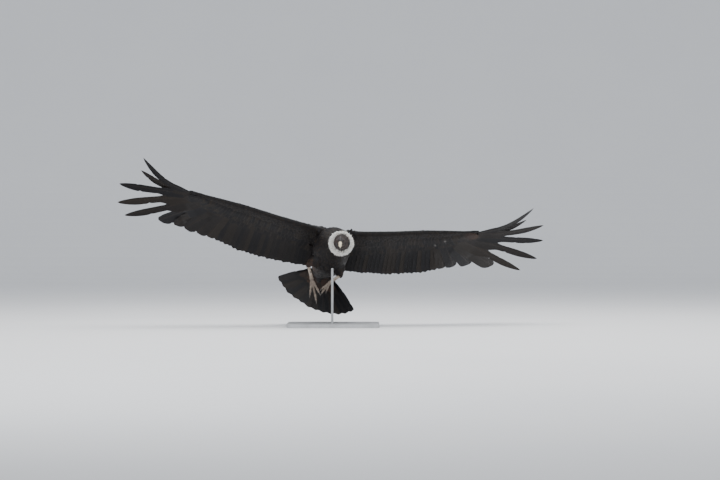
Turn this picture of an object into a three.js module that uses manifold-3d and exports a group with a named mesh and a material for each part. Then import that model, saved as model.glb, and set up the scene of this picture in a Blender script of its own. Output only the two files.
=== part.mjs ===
// An adult andean condor in soaring flight, as a life-size still model on a plain display stand.
// World frame: millimetres, +Z up, the bird comes along -Y. Body frame: x to the bird's left,
// y backward, z up through the back, with its origin between the wings.
import * as THREE from "three";
import { mergeVertices } from "three/addons/utils/BufferGeometryUtils.js";
import Module from "manifold-3d";

const wasm = await Module();
wasm.setup();

// Pose of the body in the world, in degrees and millimetres.
const HEADING = 9.5;
const NOSE_UP = 38;
const BANK = 2;
const FLIGHT_POINT = new THREE.Vector3(-20, 45, 545);

// Space between nodes that touch.
const GAP = 0.4;

// Torso, as rings across the body: y, centre x, centre z, half width, half height.
const TORSO_RINGS = [
  [-246, 27, -126, 52, 48],
  [-222, 20, -100, 84, 84],
  [-185, 11, -70, 112, 122],
  [-135, 4, -56, 132, 138],
  [-60, 0, -60, 136, 134],
  [30, 0, -66, 128, 120],
  [110, -5, -64, 112, 98],
  [175, -12, -58, 92, 72],
  [236, -20, -50, 68, 46],
];
const TORSO_SIDES = 22;

// Wing plan and height: span, then leading y, leading z, trailing y, trailing z.
const WING_RINGS = [
  [60, -160, 34, 205, -14],
  [140, -185, 32, 215, -8],
  [230, -209, 28, 238, 2],
  [400, -228, 45, 252, 26],
  [640, -236, 92, 236, 58],
  [780, -234, 116, 200, 88],
  [900, -216, 148, 195, 124],
  [1045, -180, 208, 200, 178],
];
// Last row of that table, out at the finger tips: the two wings are held a little differently.
const TIP_RINGS = { left: [1600, -150, 452, 200, 300], right: [1600, -150, 412, 200, 128] };
const CAMBER = 20;
// Fleshy core of the wing: span, depth behind the leading edge, thickness.
const CORE_RINGS = [
  [60, 200, 62],
  [160, 190, 48],
  [420, 172, 40],
  [700, 150, 34],
  [860, 100, 26],
  [960, 66, 19],
  [1030, 40, 12],
];
const CORE_STEP = 88;
const SECONDARIES = 18;
const SECONDARY_SPACING = 33.5;
const FIRST_SECONDARY = 128;
const SECONDARY_WIDTH = 62;
const PRIMARIES = 10;
const FIRST_PRIMARY = 742;
const LAST_PRIMARY = 1012;
const FINGER_WIDTH = 44;
// The first primary that ends as a free finger, and of each primary the width before its notch and
// how far its middle bows backward.
const FIRST_FINGER = { left: 4, right: 5 };
const PRIMARY_WIDTHS = {
  left: [72, 78, 84, 90, 94, 84, 74, 62, 54, 46],
  right: [72, 78, 82, 86, 92, 98, 84, 66, 54, 46],
};
const PRIMARY_BOWS = {
  left: [0, 0, 0, 10, 24, 16, 8, 0, 0, 0],
  right: [0, 0, 0, 4, 14, 38, 32, 12, 0, 0],
};
const VANE_THICKNESS = 1.4;
const TIP_THINNING = 0.45;
const VANE_TILT = Math.tan(THREE.MathUtils.degToRad(4.2));
// Tips of the ten primaries, inner to outer, as the two wings hold them: span, y, height.
const PRIMARY_TIPS = {
  left: [
    [850, 200, 118], [930, 202, 150], [1050, 214, 200], [1236, 268, 262], [1446, 290, 268],
    [1545, 185, 312], [1563, 66, 392], [1545, -20, 462], [1400, -84, 436], [1438, -150, 498],
  ],
  right: [
    [850, 200, 112], [925, 200, 132], [1015, 204, 160], [1090, 215, 188], [1205, 232, 226],
    [1447, 180, 186], [1508, 64, 200], [1513, -16, 302], [1375, -84, 392], [1372, -150, 452],
  ],
};

// Tail fan: pivot, feather length, half spread, aim and twist in degrees.
const TAIL_PIVOT = new THREE.Vector3(-20, 155, -50);
const TAIL_LENGTH = 467;
const TAIL_HALF_SPREAD = 41;
const TAIL_AIM = 0.5;
const TAIL_DROOP = 3;
const TAIL_TWIST = -20;
const TAIL_FEATHERS = 12;
const TAIL_WIDTH = 76;

// Collar, neck and head.
const RUFF_PLACE = new THREE.Vector3(35, -242, -135);
const RUFF_RADIUS = 60;
const RUFF_DEPTH = 34;
const RUFF_LOCKS = 21;
const RUFF_LOCK_LENGTH = 50;
const NECK_RADIUS = 58;
// The neck leaves the collar this far from its middle: across, up.
const NECK_SHIFT = [-5, 9];
const NAPE_RADIUS = 33;
const HEAD_REACH = 150;
const NAPE_REACH = HEAD_REACH - 44;
const EYE_RADIUS = 8;
const EYE_PLACE = [24.6, -13, 9];
const BILL_START = 52;

// Legs: hip, ankle, foot and middle toe tip of each side, in the body frame.
const LEGS = {
  right: {
    hip: [-70, -30, -118], ankle: [-150, 12, -152], foot: [-106, 124, -190], toe: [-42, 250, -306],
  },
  left: {
    hip: [60, 0, -124], ankle: [92, 66, -166], foot: [26, 140, -194], toe: [-26, 232, -244],
  },
};
const TARSUS_RADIUS = 9;
const TOE_RADIUS = 7;
const CLAW_LENGTH = 24;
// Toes: name, turn from the middle toe in degrees, share of its length, droop.
const TOES = [
  ["inner", 17, 0.7, 0],
  ["middle", 0, 1, 0],
  ["outer", -17, 0.74, 0],
  ["hind", 165, 0.36, -0.6],
];

// Stand.
const BASE_SIZE = [640, 480, 25];
const BASE_CORNER = 40;
const ROD_RADIUS = 8;
const ROD_PLACE = [-6, -84];
const ROD_TOP = 520;

const COLOURS = {
  black: 0x17161a,
  white: 0xe9e6de,
  skin: 0x4a3f3f,
  comb: 0x5d5556,
  bill: 0xd8cfb6,
  horn: 0x2b2828,
  eye: 0x6e3a22,
  leg: 0xb9aa94,
  stand: 0x8d8f92,
};

const point = (x, y, z) => new THREE.Vector3(x, y, z);
const radians = THREE.MathUtils.degToRad;
const lerp = THREE.MathUtils.lerp;
const clamp = THREE.MathUtils.clamp;

// Repeatable scatter between -1 and 1.
let drawState = 7;
function draw() {
  drawState = (drawState * 16807) % 2147483647;
  return (drawState / 2147483647) * 2 - 1;
}

// Value of one column of a table at a given first column, straight between the rows.
function along(table, at, column) {
  let row = 0;
  while (row < table.length - 2 && table[row + 1][0] < at) row += 1;
  const share = (at - table[row][0]) / (table[row + 1][0] - table[row][0]);
  return lerp(table[row][column], table[row + 1][column], share);
}

const bodyFrame = new THREE.Matrix4()
  .makeTranslation(FLIGHT_POINT)
  .multiply(new THREE.Matrix4().makeRotationY(radians(BANK)))
  .multiply(new THREE.Matrix4().makeRotationX(radians(-NOSE_UP)))
  .multiply(new THREE.Matrix4().makeRotationZ(radians(HEADING)));
const onBody = (v) => v.clone().applyMatrix4(bodyFrame);

// Closed mesh from vertices and triangles, turned so that its faces look out.
function closedMesh(vertices, triangles) {
  let volume = 0;
  for (const [a, b, c] of triangles) {
    volume += vertices[a].dot(vertices[b].clone().cross(vertices[c]));
  }
  const faces = volume < 0 ? triangles.map(([a, b, c]) => [a, c, b]) : triangles;
  const geometry = new THREE.BufferGeometry().setFromPoints(vertices);
  geometry.setIndex(faces.flat());
  return geometry;
}

// Skin over a row of rings with the same number of points, with a fan over each end.
function loft(rings) {
  const sides = rings[0].length;
  const vertices = rings.flat();
  const triangles = [];
  for (let ring = 0; ring < rings.length - 1; ring += 1) {
    for (let side = 0; side < sides; side += 1) {
      const next = (side + 1) % sides;
      const here = ring * sides;
      const beyond = here + sides;
      triangles.push([here + side, here + next, beyond + next]);
      triangles.push([here + side, beyond + next, beyond + side]);
    }
  }
  for (const [start, flip] of [[0, true], [(rings.length - 1) * sides, false]]) {
    const middle = vertices.length;
    const centre = point(0, 0, 0);
    for (let side = 0; side < sides; side += 1) centre.addScaledVector(vertices[start + side], 1 / sides);
    vertices.push(centre);
    for (let side = 0; side < sides; side += 1) {
      const pair = [start + side, start + ((side + 1) % sides)];
      triangles.push(flip ? [middle, pair[1], pair[0]] : [middle, pair[0], pair[1]]);
    }
  }
  return closedMesh(vertices, triangles);
}

// Round or oval tube through points, with a radius at each.
function tube(points, radii, sides = 10) {
  const curve = new THREE.CatmullRomCurve3(points);
  const hint = Math.abs(curve.getTangent(0.5).z) > 0.9 ? point(1, 0, 0) : point(0, 0, 1);
  return loft(points.map((centre, i) => {
    const aim = curve.getTangent(i / (points.length - 1));
    const across = aim.clone().cross(hint).normalize();
    const up = across.clone().cross(aim);
    return [...Array(sides).keys()].map((side) => {
      const angle = (side / sides) * 2 * Math.PI;
      return centre.clone()
        .addScaledVector(across, radii[i] * Math.cos(angle))
        .addScaledVector(up, radii[i] * Math.sin(angle));
    });
  }));
}

// One feather vane along a spine, with the same triangles on both faces. The outer edge is lifted
// by the tilt, so that neighbours lie over each other like shingles.
function vane({ spine, widths, thickness, outward, outerShare = 0.4, tilt = VANE_TILT, up }) {
  const vertices = [];
  const last = spine.length - 1;
  spine.forEach((centre, i) => {
    const aim = spine[Math.min(i + 1, last)].clone().sub(spine[Math.max(i - 1, 0)]).normalize();
    const side = aim.clone().cross(up).normalize();
    if (side.dot(outward) < 0) side.negate();
    const slope = side.clone().addScaledVector(up, tilt);
    const normal = side.clone().cross(aim).normalize();
    if (normal.dot(up) < 0) normal.negate();
    const half = (thickness * (1 - TIP_THINNING * (i / last))) / 2;
    for (const face of [1, -1]) {
      for (const share of [0, 1]) {
        vertices.push(centre.clone()
          .addScaledVector(slope, widths[i] * (share - (1 - outerShare)))
          .addScaledVector(normal, face * half));
      }
    }
  });
  const triangles = [];
  const quad = (a, b, c, d) => triangles.push([a, b, c], [a, c, d]);
  for (let row = 0; row < last; row += 1) {
    const here = row * 4;
    const beyond = here + 4;
    quad(here, here + 1, beyond + 1, beyond);
    triangles.push([here + 2, beyond + 3, here + 3], [here + 2, beyond + 2, beyond + 3]);
    quad(here, beyond, beyond + 2, here + 2);
    quad(here + 1, here + 3, beyond + 3, beyond + 1);
  }
  const end = last * 4;
  quad(0, 2, 3, 1);
  quad(end, end + 1, end + 3, end + 2);
  return closedMesh(vertices, triangles);
}

function solid(geometry) {
  const plain = geometry.clone();
  plain.deleteAttribute("normal");
  plain.deleteAttribute("uv");
  const merged = mergeVertices(plain, 1e-4);
  return new wasm.Manifold(new wasm.Mesh({
    numProp: 3,
    vertProperties: new Float32Array(merged.attributes.position.array),
    triVerts: new Uint32Array(merged.index.array),
  }));
}

// All pieces joined to the first, its neighbours cut away, and the largest body of the result.
function fused(pieces, neighbours = []) {
  let whole = solid(pieces[0]);
  for (const piece of pieces.slice(1)) whole = whole.add(solid(piece));
  for (const neighbour of neighbours) whole = whole.subtract(solid(neighbour));
  const bodies = whole.decompose();
  bodies.sort((a, b) => b.volume() - a.volume());
  const mesh = bodies[0].getMesh();
  const geometry = new THREE.BufferGeometry();
  geometry.setAttribute("position", new THREE.Float32BufferAttribute(mesh.vertProperties, 3));
  geometry.setIndex([...mesh.triVerts]);
  return geometry;
}

// Oval ring across the body, grown evenly where it stands for a neighbour's clearance.
function torsoRing([y, x, z, halfWidth, halfHeight], grow) {
  return [...Array(TORSO_SIDES).keys()].map((side) => {
    const angle = (side / TORSO_SIDES) * 2 * Math.PI;
    return point(x + (halfWidth + grow) * Math.cos(angle), y, z + (halfHeight + grow) * Math.sin(angle));
  });
}

function torsoGeometry(grow = 0) {
  const rings = TORSO_RINGS.map((ring) => torsoRing(ring, grow));
  const [first, last] = [TORSO_RINGS[0], TORSO_RINGS.at(-1)];
  const front = [first[0] - grow, ...first.slice(1)];
  const back = [last[0] + grow, ...last.slice(1)];
  rings[0] = torsoRing(front, grow);
  rings[rings.length - 1] = torsoRing(back, grow);
  return loft(rings);
}

// Height of the middle surface of one wing, -1 the right and 1 the left.
function wingHeight(sign, span, y) {
  const rings = [...WING_RINGS, TIP_RINGS[sign > 0 ? "left" : "right"]];
  const [leadY, leadZ, trailY, trailZ] = [1, 2, 3, 4].map((column) => along(rings, span, column));
  const share = (y - leadY) / (trailY - leadY);
  const arch = CAMBER * Math.sin(Math.PI * clamp(share, 0, 1)) * clamp(1 - (span - 600) / 700, 0.2, 1);
  return lerp(leadZ, trailZ, clamp(share, -0.2, 1.3)) + arch;
}

// Section of the wing's core: share of its depth, share of its thickness above the middle surface.
const CORE_SECTION = [
  [0, 0], [0.08, 0.4], [0.3, 0.6], [0.62, 0.5], [1, 0.26],
  [1, -0.24], [0.62, -0.3], [0.3, -0.34], [0.08, -0.28],
];

function wingCore(sign) {
  const first = CORE_RINGS[0][0];
  const last = CORE_RINGS.at(-1)[0];
  const steps = Math.round((last - first) / CORE_STEP);
  const rings = [...Array(steps + 1).keys()].map((step) => {
    const span = lerp(first, last, step / steps);
    const leadY = along(WING_RINGS, span, 1);
    return CORE_SECTION.map(([back, rise]) => {
      const y = leadY + back * along(CORE_RINGS, span, 1);
      return point(sign * span, y, wingHeight(sign, span, y) + rise * along(CORE_RINGS, span, 2));
    });
  });
  return loft(rings);
}

// Vane in the wing's surface from a root to a tip, lifted clear of the layers under or over it.
function wingVane(sign, root, tip, options) {
  const { shares, widths, rootLift = 0, lift = 0, curl = 0, curlFrom = 0.3 } = options;
  const spine = shares.map((share) => {
    const span = lerp(root[0], tip[0], share);
    const y = lerp(root[1], tip[1], share) + (options.bow ?? 0) * Math.sin(Math.PI * share);
    const bend = clamp((share - curlFrom) / (1 - curlFrom), 0, 1) ** 1.7;
    const raised = lerp(rootLift, lift, clamp(share * 2.2, 0, 1));
    return point(sign * span, y, wingHeight(sign, span, y) + raised + curl * bend);
  });
  return vane({
    spine,
    widths,
    thickness: options.thickness ?? VANE_THICKNESS,
    outward: point(sign, -1, 0),
    outerShare: options.outerShare,
    up: point(0, 0, 1),
  });
}

// Row of overlapping covert vanes on one face of the wing.
function covertRow(sign, { from, to, count, rootDepth, length, width, rootRise, lift }) {
  return [...Array(count).keys()].map((i) => {
    const span = lerp(from, to, i / (count - 1));
    const splay = clamp((span - 560) / 420, 0, 1);
    const reach = length * (1 - 0.25 * splay) * (1 + 0.04 * draw());
    const root = [span, along(WING_RINGS, span, 1) + rootDepth * along(CORE_RINGS, span, 1)];
    const turn = radians(lerp(6, 46, splay));
    const tip = [span + reach * Math.sin(turn), root[1] + reach * Math.cos(turn)];
    return wingVane(sign, root, tip, {
      shares: [0, 0.55, 1],
      widths: [width * 0.6, width, width * 0.4],
      rootLift: rootRise * along(CORE_RINGS, span, 2),
      lift,
      outerShare: 0.5,
    });
  });
}

const COVERT_ROWS = [
  { from: 150, to: 975, count: 16, rootDepth: 0.8, length: 122, width: 80, rootRise: 0.12, lift: 7.5 },
  { from: 160, to: 940, count: 13, rootDepth: 0.5, length: 108, width: 88, rootRise: 0.3, lift: 15 },
  { from: 150, to: 975, count: 16, rootDepth: 0.8, length: 116, width: 80, rootRise: -0.12, lift: -7.5 },
  { from: 160, to: 930, count: 12, rootDepth: 0.45, length: 104, width: 92, rootRise: -0.18, lift: -15 },
];

function secondary(sign, i) {
  const span = FIRST_SECONDARY + i * SECONDARY_SPACING;
  const root = [span, along(WING_RINGS, span, 1) + 0.74 * along(CORE_RINGS, span, 1)];
  const tipSpan = span + lerp(4, 66, (i / (SECONDARIES - 1)) ** 2);
  const tip = [tipSpan, along(WING_RINGS, tipSpan, 3) + 5 * draw()];
  const width = SECONDARY_WIDTH;
  return wingVane(sign, root, tip, {
    shares: [0, 0.4, 0.88, 1],
    widths: [width * 0.5, width, width * 0.86, width * 0.36],
    outerShare: 0.42,
  });
}

function primary(sign, i, tips) {
  const side = sign > 0 ? "left" : "right";
  const span = lerp(FIRST_PRIMARY, LAST_PRIMARY, i / (PRIMARIES - 1));
  const root = [span, along(WING_RINGS, span, 1) + 0.66 * along(CORE_RINGS, span, 1)];
  const tip = tips[i];
  const base = PRIMARY_WIDTHS[side][i];
  const fingered = i >= FIRST_FINGER[side];
  const blade = fingered ? FINGER_WIDTH : base * 0.96;
  const [before, shoulder, end] = fingered ? [0.94, 0.55, 5] : [0.98, 0.8, base * 0.3];
  return wingVane(sign, root, tip, {
    shares: [0, 0.38, 0.5, 0.76, 0.92, 1],
    widths: [base * 0.4, base, lerp(base, blade, 0.9), blade * before, blade * shoulder, end],
    thickness: 2.2,
    outerShare: 0.36,
    curl: tip[2] - wingHeight(sign, tip[0], tip[1]),
    curlFrom: 0.34,
    bow: PRIMARY_BOWS[side][i],
  });
}

function wingGeometry(sign, tips, torso) {
  const pieces = [wingCore(sign)];
  for (let i = 0; i < SECONDARIES; i += 1) pieces.push(secondary(sign, i));
  for (let i = 0; i < PRIMARIES; i += 1) pieces.push(primary(sign, i, tips));
  for (const row of COVERT_ROWS) pieces.push(...covertRow(sign, row));
  return fused(pieces, [torso]);
}

// Directions of the tail fan.
const tailAim = point(
  -Math.sin(radians(TAIL_AIM)) * Math.cos(radians(TAIL_DROOP)),
  Math.cos(radians(TAIL_AIM)) * Math.cos(radians(TAIL_DROOP)),
  -Math.sin(radians(TAIL_DROOP)),
);
const tailFlat = point(Math.cos(radians(TAIL_AIM)), Math.sin(radians(TAIL_AIM)), 0);
const tailAcross = tailFlat.clone().multiplyScalar(Math.cos(radians(TAIL_TWIST)))
  .addScaledVector(tailFlat.clone().cross(tailAim), Math.sin(radians(TAIL_TWIST)));
const tailUp = tailAcross.clone().cross(tailAim).normalize();

function tailVane(angle, reaches, widths, lift, options = {}) {
  const sideways = Math.sign(angle);
  const direction = tailAim.clone().multiplyScalar(Math.cos(radians(angle)))
    .addScaledVector(tailAcross, Math.sin(radians(angle)));
  const spine = reaches.map((reach, i) => TAIL_PIVOT.clone()
    .addScaledVector(direction, reach)
    .addScaledVector(tailUp, lift * clamp(i * 0.7, 0, 1)));
  return vane({
    spine,
    widths,
    thickness: options.thickness ?? 1.8,
    outward: tailAcross.clone().multiplyScalar(sideways),
    outerShare: 0.5,
    up: tailUp,
  });
}

function tailGeometry(torso) {
  const centre = (reach, lift = 0) => TAIL_PIVOT.clone()
    .addScaledVector(tailAim, reach)
    .addScaledVector(tailUp, lift);
  const rings = [[66, 58, 40], [104, 60, 33], [146, 60, 22], [186, 54, 13], [214, 34, 7]]
    .map(([reach, halfWidth, halfHeight]) => [...Array(14).keys()].map((side) => {
      const turn = (side / 14) * 2 * Math.PI;
      return centre(reach)
        .addScaledVector(tailAcross, halfWidth * Math.cos(turn))
        .addScaledVector(tailUp, halfHeight * Math.sin(turn));
    }));
  const pieces = [loft(rings)];
  const step = (2 * TAIL_HALF_SPREAD) / (TAIL_FEATHERS - 1);
  for (let i = 0; i < TAIL_FEATHERS; i += 1) {
    const angle = -TAIL_HALF_SPREAD + i * step;
    const reach = TAIL_LENGTH * (1 - 0.07 * (angle / TAIL_HALF_SPREAD) ** 2) + 4 * draw();
    const reaches = [96, 160, 250, reach - 46, reach];
    const widths = [26, 38, 56, TAIL_WIDTH, TAIL_WIDTH * 0.5];
    pieces.push(tailVane(angle, reaches, widths, angle > 0 ? -3.2 : 0));
  }
  for (const [lift, count, length] of [[9.5, 7, 265], [-11, 7, 285]]) {
    for (let i = 0; i < count; i += 1) {
      const angle = lerp(-38, 36, i / (count - 1)) + 0.1;
      const reach = length + 12 * draw() - 0.4 * Math.abs(angle);
      const reaches = [110, 165, reach - 34, reach];
      pieces.push(tailVane(angle, reaches, [14, 30, 40, 14], lift + (angle > 0 ? -3.2 : 0)));
    }
  }
  return fused(pieces, [torso]);
}

// The way the neck points: at the viewer, whose side is -Y of the world.
const neckAim = point(0, -1, 0).transformDirection(bodyFrame.clone().invert());
const neckPoint = (reach) => RUFF_PLACE.clone().addScaledVector(neckAim, reach);
const collarAcross = neckAim.clone().cross(point(0, 0, 1)).normalize();
const collarUp = collarAcross.clone().cross(neckAim);

function collarCore(grow = 0) {
  const ends = [
    [-26 - grow, 66], [-8, 68], [RUFF_DEPTH * 0.5, RUFF_RADIUS + 4], [RUFF_DEPTH + grow, RUFF_RADIUS - 6],
  ];
  return tube(ends.map(([reach]) => neckPoint(reach)), ends.map(([, radius]) => radius + grow), 20);
}

// Collar of flat locks in two tiers, each bent forward over the neck and tapering to its tip.
function ruffGeometry(torso, neck) {
  const pieces = [collarCore()];
  for (const tier of [0, 1]) {
    for (let i = 0; i < RUFF_LOCKS; i += 1) {
      const angle = ((i + tier * 0.5) / RUFF_LOCKS) * 2 * Math.PI;
      const outward = collarAcross.clone().multiplyScalar(Math.cos(angle))
        .addScaledVector(collarUp, Math.sin(angle));
      const around = outward.clone().cross(neckAim);
      const length = RUFF_LOCK_LENGTH * (1 + 0.12 * draw()) * (tier ? 0.94 : 1);
      const start = tier ? 16 : -2;
      const inner = tier ? 34 : 42;
      const spine = [0, 0.5, 1].map((share) => neckPoint(start + length * (0.16 * share + 0.2 * share ** 2))
        .addScaledVector(outward, inner + length * (1 - 0.18 * share) * share)
        .addScaledVector(around, 5 * Math.sin(share * 2) * (1 + 0.4 * draw())));
      pieces.push(vane({
        spine,
        widths: [20, 30, 8],
        thickness: 2.4,
        outward: around,
        outerShare: 0.5,
        tilt: 0.34,
        up: neckAim,
      }));
    }
  }
  return fused(pieces, [torso, neck]);
}

// Bare neck with ring folds, narrowing to the nape.
function neckGeometry(grow = 0) {
  const folds = 13;
  const shares = [...Array(folds).keys()].map((i) => i / (folds - 1));
  const start = RUFF_DEPTH + GAP - grow;
  const points = shares.map((share) => neckPoint(lerp(start, NAPE_REACH + grow, share))
    .addScaledVector(collarAcross, NECK_SHIFT[0] * (1 - share))
    .addScaledVector(collarUp, NECK_SHIFT[1] * (1 - share)));
  const radii = shares.map((share, i) => grow + lerp(NECK_RADIUS, NAPE_RADIUS, share ** 0.9)
    + (i % 2 ? 2.2 : -0.8) * (1 - share));
  return tube(points, radii, 18);
}

// Head frame: origin in the middle of the skull, x to the bird's left, y backward, z up.
const headPlace = onBody(neckPoint(HEAD_REACH)).add(point(-3, 0, 6));
const headFrame = new THREE.Matrix4().makeTranslation(headPlace)
  .multiply(new THREE.Matrix4().makeRotationX(radians(6)));

// Oval rings along the head: forward reach, half width, rise, depth.
function headLoft(table, sides = 18) {
  return loft(table.map(([reach, halfWidth, rise, depth]) => [...Array(sides).keys()].map((side) => {
    const angle = (side / sides) * 2 * Math.PI;
    const tall = Math.sin(angle) > 0 ? rise : depth;
    return point(halfWidth * Math.cos(angle), -reach, tall * Math.sin(angle));
  })));
}

const ball = (radius, x, y, z, stretch = [1, 1, 1], detail = [10, 8]) => {
  const sphere = new THREE.SphereGeometry(radius, ...detail);
  return sphere.scale(...stretch).translate(x, y, z);
};

// The skull, with lids round the eyes, ear cups, cheek folds and the corner of the mouth.
function headGeometry(neck) {
  const skull = headLoft([
    [-54, 29, 28, 31], [-24, 32.5, 34, 34], [4, 31.5, 33.5, 32],
    [24, 27, 28, 28], [40, 20, 21, 23], [BILL_START - GAP, 15, 17, 18],
  ]);
  const [eyeX, eyeY, eyeZ] = EYE_PLACE;
  const pieces = [skull];
  const cuts = [neck];
  for (const side of [-1, 1]) {
    const lid = new THREE.TorusGeometry(EYE_RADIUS + 0.6, 2.2, 5, 12);
    lid.rotateY(Math.PI / 2).translate(side * (eyeX + 5.2), eyeY, eyeZ);
    pieces.push(lid);
    pieces.push(ball(6, side * 25, eyeY - 2, eyeZ + 12, [0.7, 2.1, 0.5], [8, 6]));
    pieces.push(ball(9, side * 25, 8, -16, [0.6, 1.6, 0.6], [8, 6]));
    pieces.push(ball(8, side * 24, 26, -8, [0.7, 1.2, 1.5], [8, 6]));
    cuts.push(ball(EYE_RADIUS + GAP * 1.6, side * eyeX, eyeY, eyeZ, [1, 1, 1], [14, 8]));
    cuts.push(ball(5, side * 34, 19, 4, [1, 0.8, 1.3], [8, 6]));
    cuts.push(ball(5, side * 17, -BILL_START + 6, -7.5, [1.4, 3.4, 0.22], [8, 4]));
  }
  return fused(pieces, cuts);
}

// Upper bill: cere with open nostrils, ridge, and the hook.
function billUpperGeometry() {
  const shell = headLoft([
    [BILL_START, 14.6, 16.5, 6], [62, 13.6, 16, 6.4], [74, 12.4, 17, 7],
    [86, 10.6, 14.6, 7], [94, 8, 9.6, 6.4], [99, 4.6, 3.6, 5],
  ], 14);
  const hook = tube(
    [point(0, -86, 2), point(0, -94, -1), point(0, -99, -8), point(0, -100, -16), point(0, -97, -24)],
    [9, 8.4, 6.6, 4.4, 1.4],
    10,
  );
  const nostril = ball(4.2, 0, -61, 5, [5, 1, 0.62], [10, 8]);
  const palate = ball(9, 0, -70, -10.5, [0.95, 3.6, 0.62], [12, 8]);
  return fused([shell, hook], [nostril, palate]);
}

function billLowerGeometry(upper) {
  const jaw = headLoft([
    [BILL_START, 11.5, -8.5, 17], [64, 10.6, -9, 17], [78, 8.8, -10, 18], [88, 5.4, -12.5, 18.5],
  ], 12);
  return fused([jaw], [upper]);
}

// Fleshy comb on forehead and bill: a thick blade with a lumpy, folded top.
function combGeometry(neighbours) {
  const lobes = [
    [-4, 37, 13, 7.5], [12, 44, 17, 8.5], [30, 46, 18, 9], [46, 40, 16, 8], [60, 29, 12, 6.5],
  ];
  const pieces = lobes.map(([reach, top, size, halfWidth]) => (
    ball(size, 0, -reach, top - size * 0.75, [halfWidth / size, 1.1, 1], [9, 7])
  ));
  pieces.push(headLoft([[-14, 4, 31, 4], [8, 8, 41, 4], [34, 8, 40, 4], [60, 6, 24, 4], [68, 3, 18, 4]], 12));
  return fused(pieces, neighbours);
}

// Wattle: hanging fold of skin under the throat, with bulbs along its edge.
function wattleGeometry(neighbours) {
  const bulbs = [[30, -30, 9], [18, -35, 11], [4, -38, 12], [-10, -38, 11], [-24, -36, 10]];
  const pieces = bulbs.map(([reach, z, size]) => ball(size, 0, -reach, z, [0.55, 1.3, 1.1], [9, 7]));
  return fused(pieces, neighbours);
}

const legPoint = ([x, y, z]) => point(x, y, z);

function thighGeometry(leg, torso) {
  const [hip, ankle] = [legPoint(leg.hip), legPoint(leg.ankle)];
  const shares = [0, 0.25, 0.5, 0.75, 0.93, 1];
  const radii = [50, 47, 39, 27, 16, 12.5];
  return fused([tube(shares.map((share) => hip.clone().lerp(ankle, share)), radii, 14)], [torso]);
}

// Frame of one foot: where it is, the way of the middle toe, and its two other directions.
function footFrame(leg) {
  const foot = legPoint(leg.foot);
  const reach = legPoint(leg.toe).sub(foot);
  const aim = reach.clone().normalize();
  const across = aim.clone().cross(point(0, 0, 1)).normalize();
  return { foot, length: reach.length() - CLAW_LENGTH, aim, across, up: across.clone().cross(aim) };
}

function toePath(leg, [, turn, share, droop]) {
  const { foot, length, aim, across, up } = footFrame(leg);
  const way = aim.clone().multiplyScalar(Math.cos(radians(turn)))
    .addScaledVector(across, Math.sin(radians(turn)))
    .addScaledVector(up, droop)
    .normalize();
  const knuckle = (along, rise) => foot.clone()
    .addScaledVector(way, length * share * along)
    .addScaledVector(up, rise * share);
  return { way, up, points: [knuckle(0, 0), knuckle(0.3, 4), knuckle(0.55, 1.5), knuckle(0.78, 3), knuckle(1, -2)] };
}

function legGeometry(leg, neighbours) {
  const ankle = legPoint(leg.ankle);
  const { foot } = footFrame(leg);
  const shaft = tube(
    [-0.08, 0.12, 0.5, 0.9, 1].map((share) => ankle.clone().lerp(foot, share)),
    [11, TARSUS_RADIUS, TARSUS_RADIUS, TARSUS_RADIUS * 1.1, 8],
    10,
  );
  const pieces = [shaft, ball(12, foot.x, foot.y, foot.z, [1, 1, 1], [12, 8])];
  for (const toe of TOES) {
    const { points } = toePath(leg, toe);
    pieces.push(tube(points, [TOE_RADIUS, TOE_RADIUS, TOE_RADIUS * 0.86, TOE_RADIUS * 0.86, 4.6], 8));
  }
  return fused(pieces, neighbours);
}

function clawGeometry(leg, toe) {
  const { way, up, points } = toePath(leg, toe);
  const tip = points.at(-1);
  const size = CLAW_LENGTH * (0.6 + 0.4 * toe[2]);
  const curve = (share, drop) => tip.clone()
    .addScaledVector(way, GAP + 1.2 + size * share)
    .addScaledVector(up, -size * drop);
  return tube([curve(0, 0), curve(0.35, 0.03), curve(0.7, 0.18), curve(1, 0.42)], [4.2, 3.6, 2.3, 0.7], 6);
}

function baseGeometry() {
  const [width, depth, height] = BASE_SIZE;
  const [x, y, corner] = [width / 2, depth / 2, BASE_CORNER];
  const outline = new THREE.Shape();
  outline.moveTo(-x + corner, -y);
  outline.lineTo(x - corner, -y);
  outline.absarc(x - corner, -y + corner, corner, -Math.PI / 2, 0);
  outline.lineTo(x, y - corner);
  outline.absarc(x - corner, y - corner, corner, 0, Math.PI / 2);
  outline.lineTo(-x + corner, y);
  outline.absarc(-x + corner, y - corner, corner, Math.PI / 2, Math.PI);
  outline.lineTo(-x, -y + corner);
  outline.absarc(-x + corner, -y + corner, corner, Math.PI, 1.5 * Math.PI);
  return new THREE.ExtrudeGeometry(outline, { depth: height, bevelEnabled: false, curveSegments: 6 });
}

function rodGeometry(torsoInWorld) {
  const start = BASE_SIZE[2] + GAP;
  const rod = new THREE.CylinderGeometry(ROD_RADIUS, ROD_RADIUS, ROD_TOP - start, 24);
  rod.rotateX(Math.PI / 2).translate(ROD_PLACE[0], ROD_PLACE[1], (ROD_TOP + start) / 2);
  return fused([rod], [torsoInWorld]);
}

const condor = new THREE.Group();

function add(name, geometry, colour, frame, roughness = 0.7) {
  const shape = geometry.clone();
  if (frame) shape.applyMatrix4(frame);
  const flat = shape.index ? shape.toNonIndexed() : shape;
  flat.deleteAttribute("normal");
  flat.computeVertexNormals();
  const material = new THREE.MeshStandardMaterial({ color: COLOURS[colour], roughness, metalness: 0 });
  const mesh = new THREE.Mesh(flat, material);
  mesh.name = name;
  condor.add(mesh);
}

const inHead = headFrame.clone().invert().multiply(bodyFrame);
const torsoClear = torsoGeometry(GAP);
const neckClear = neckGeometry(GAP);

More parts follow.
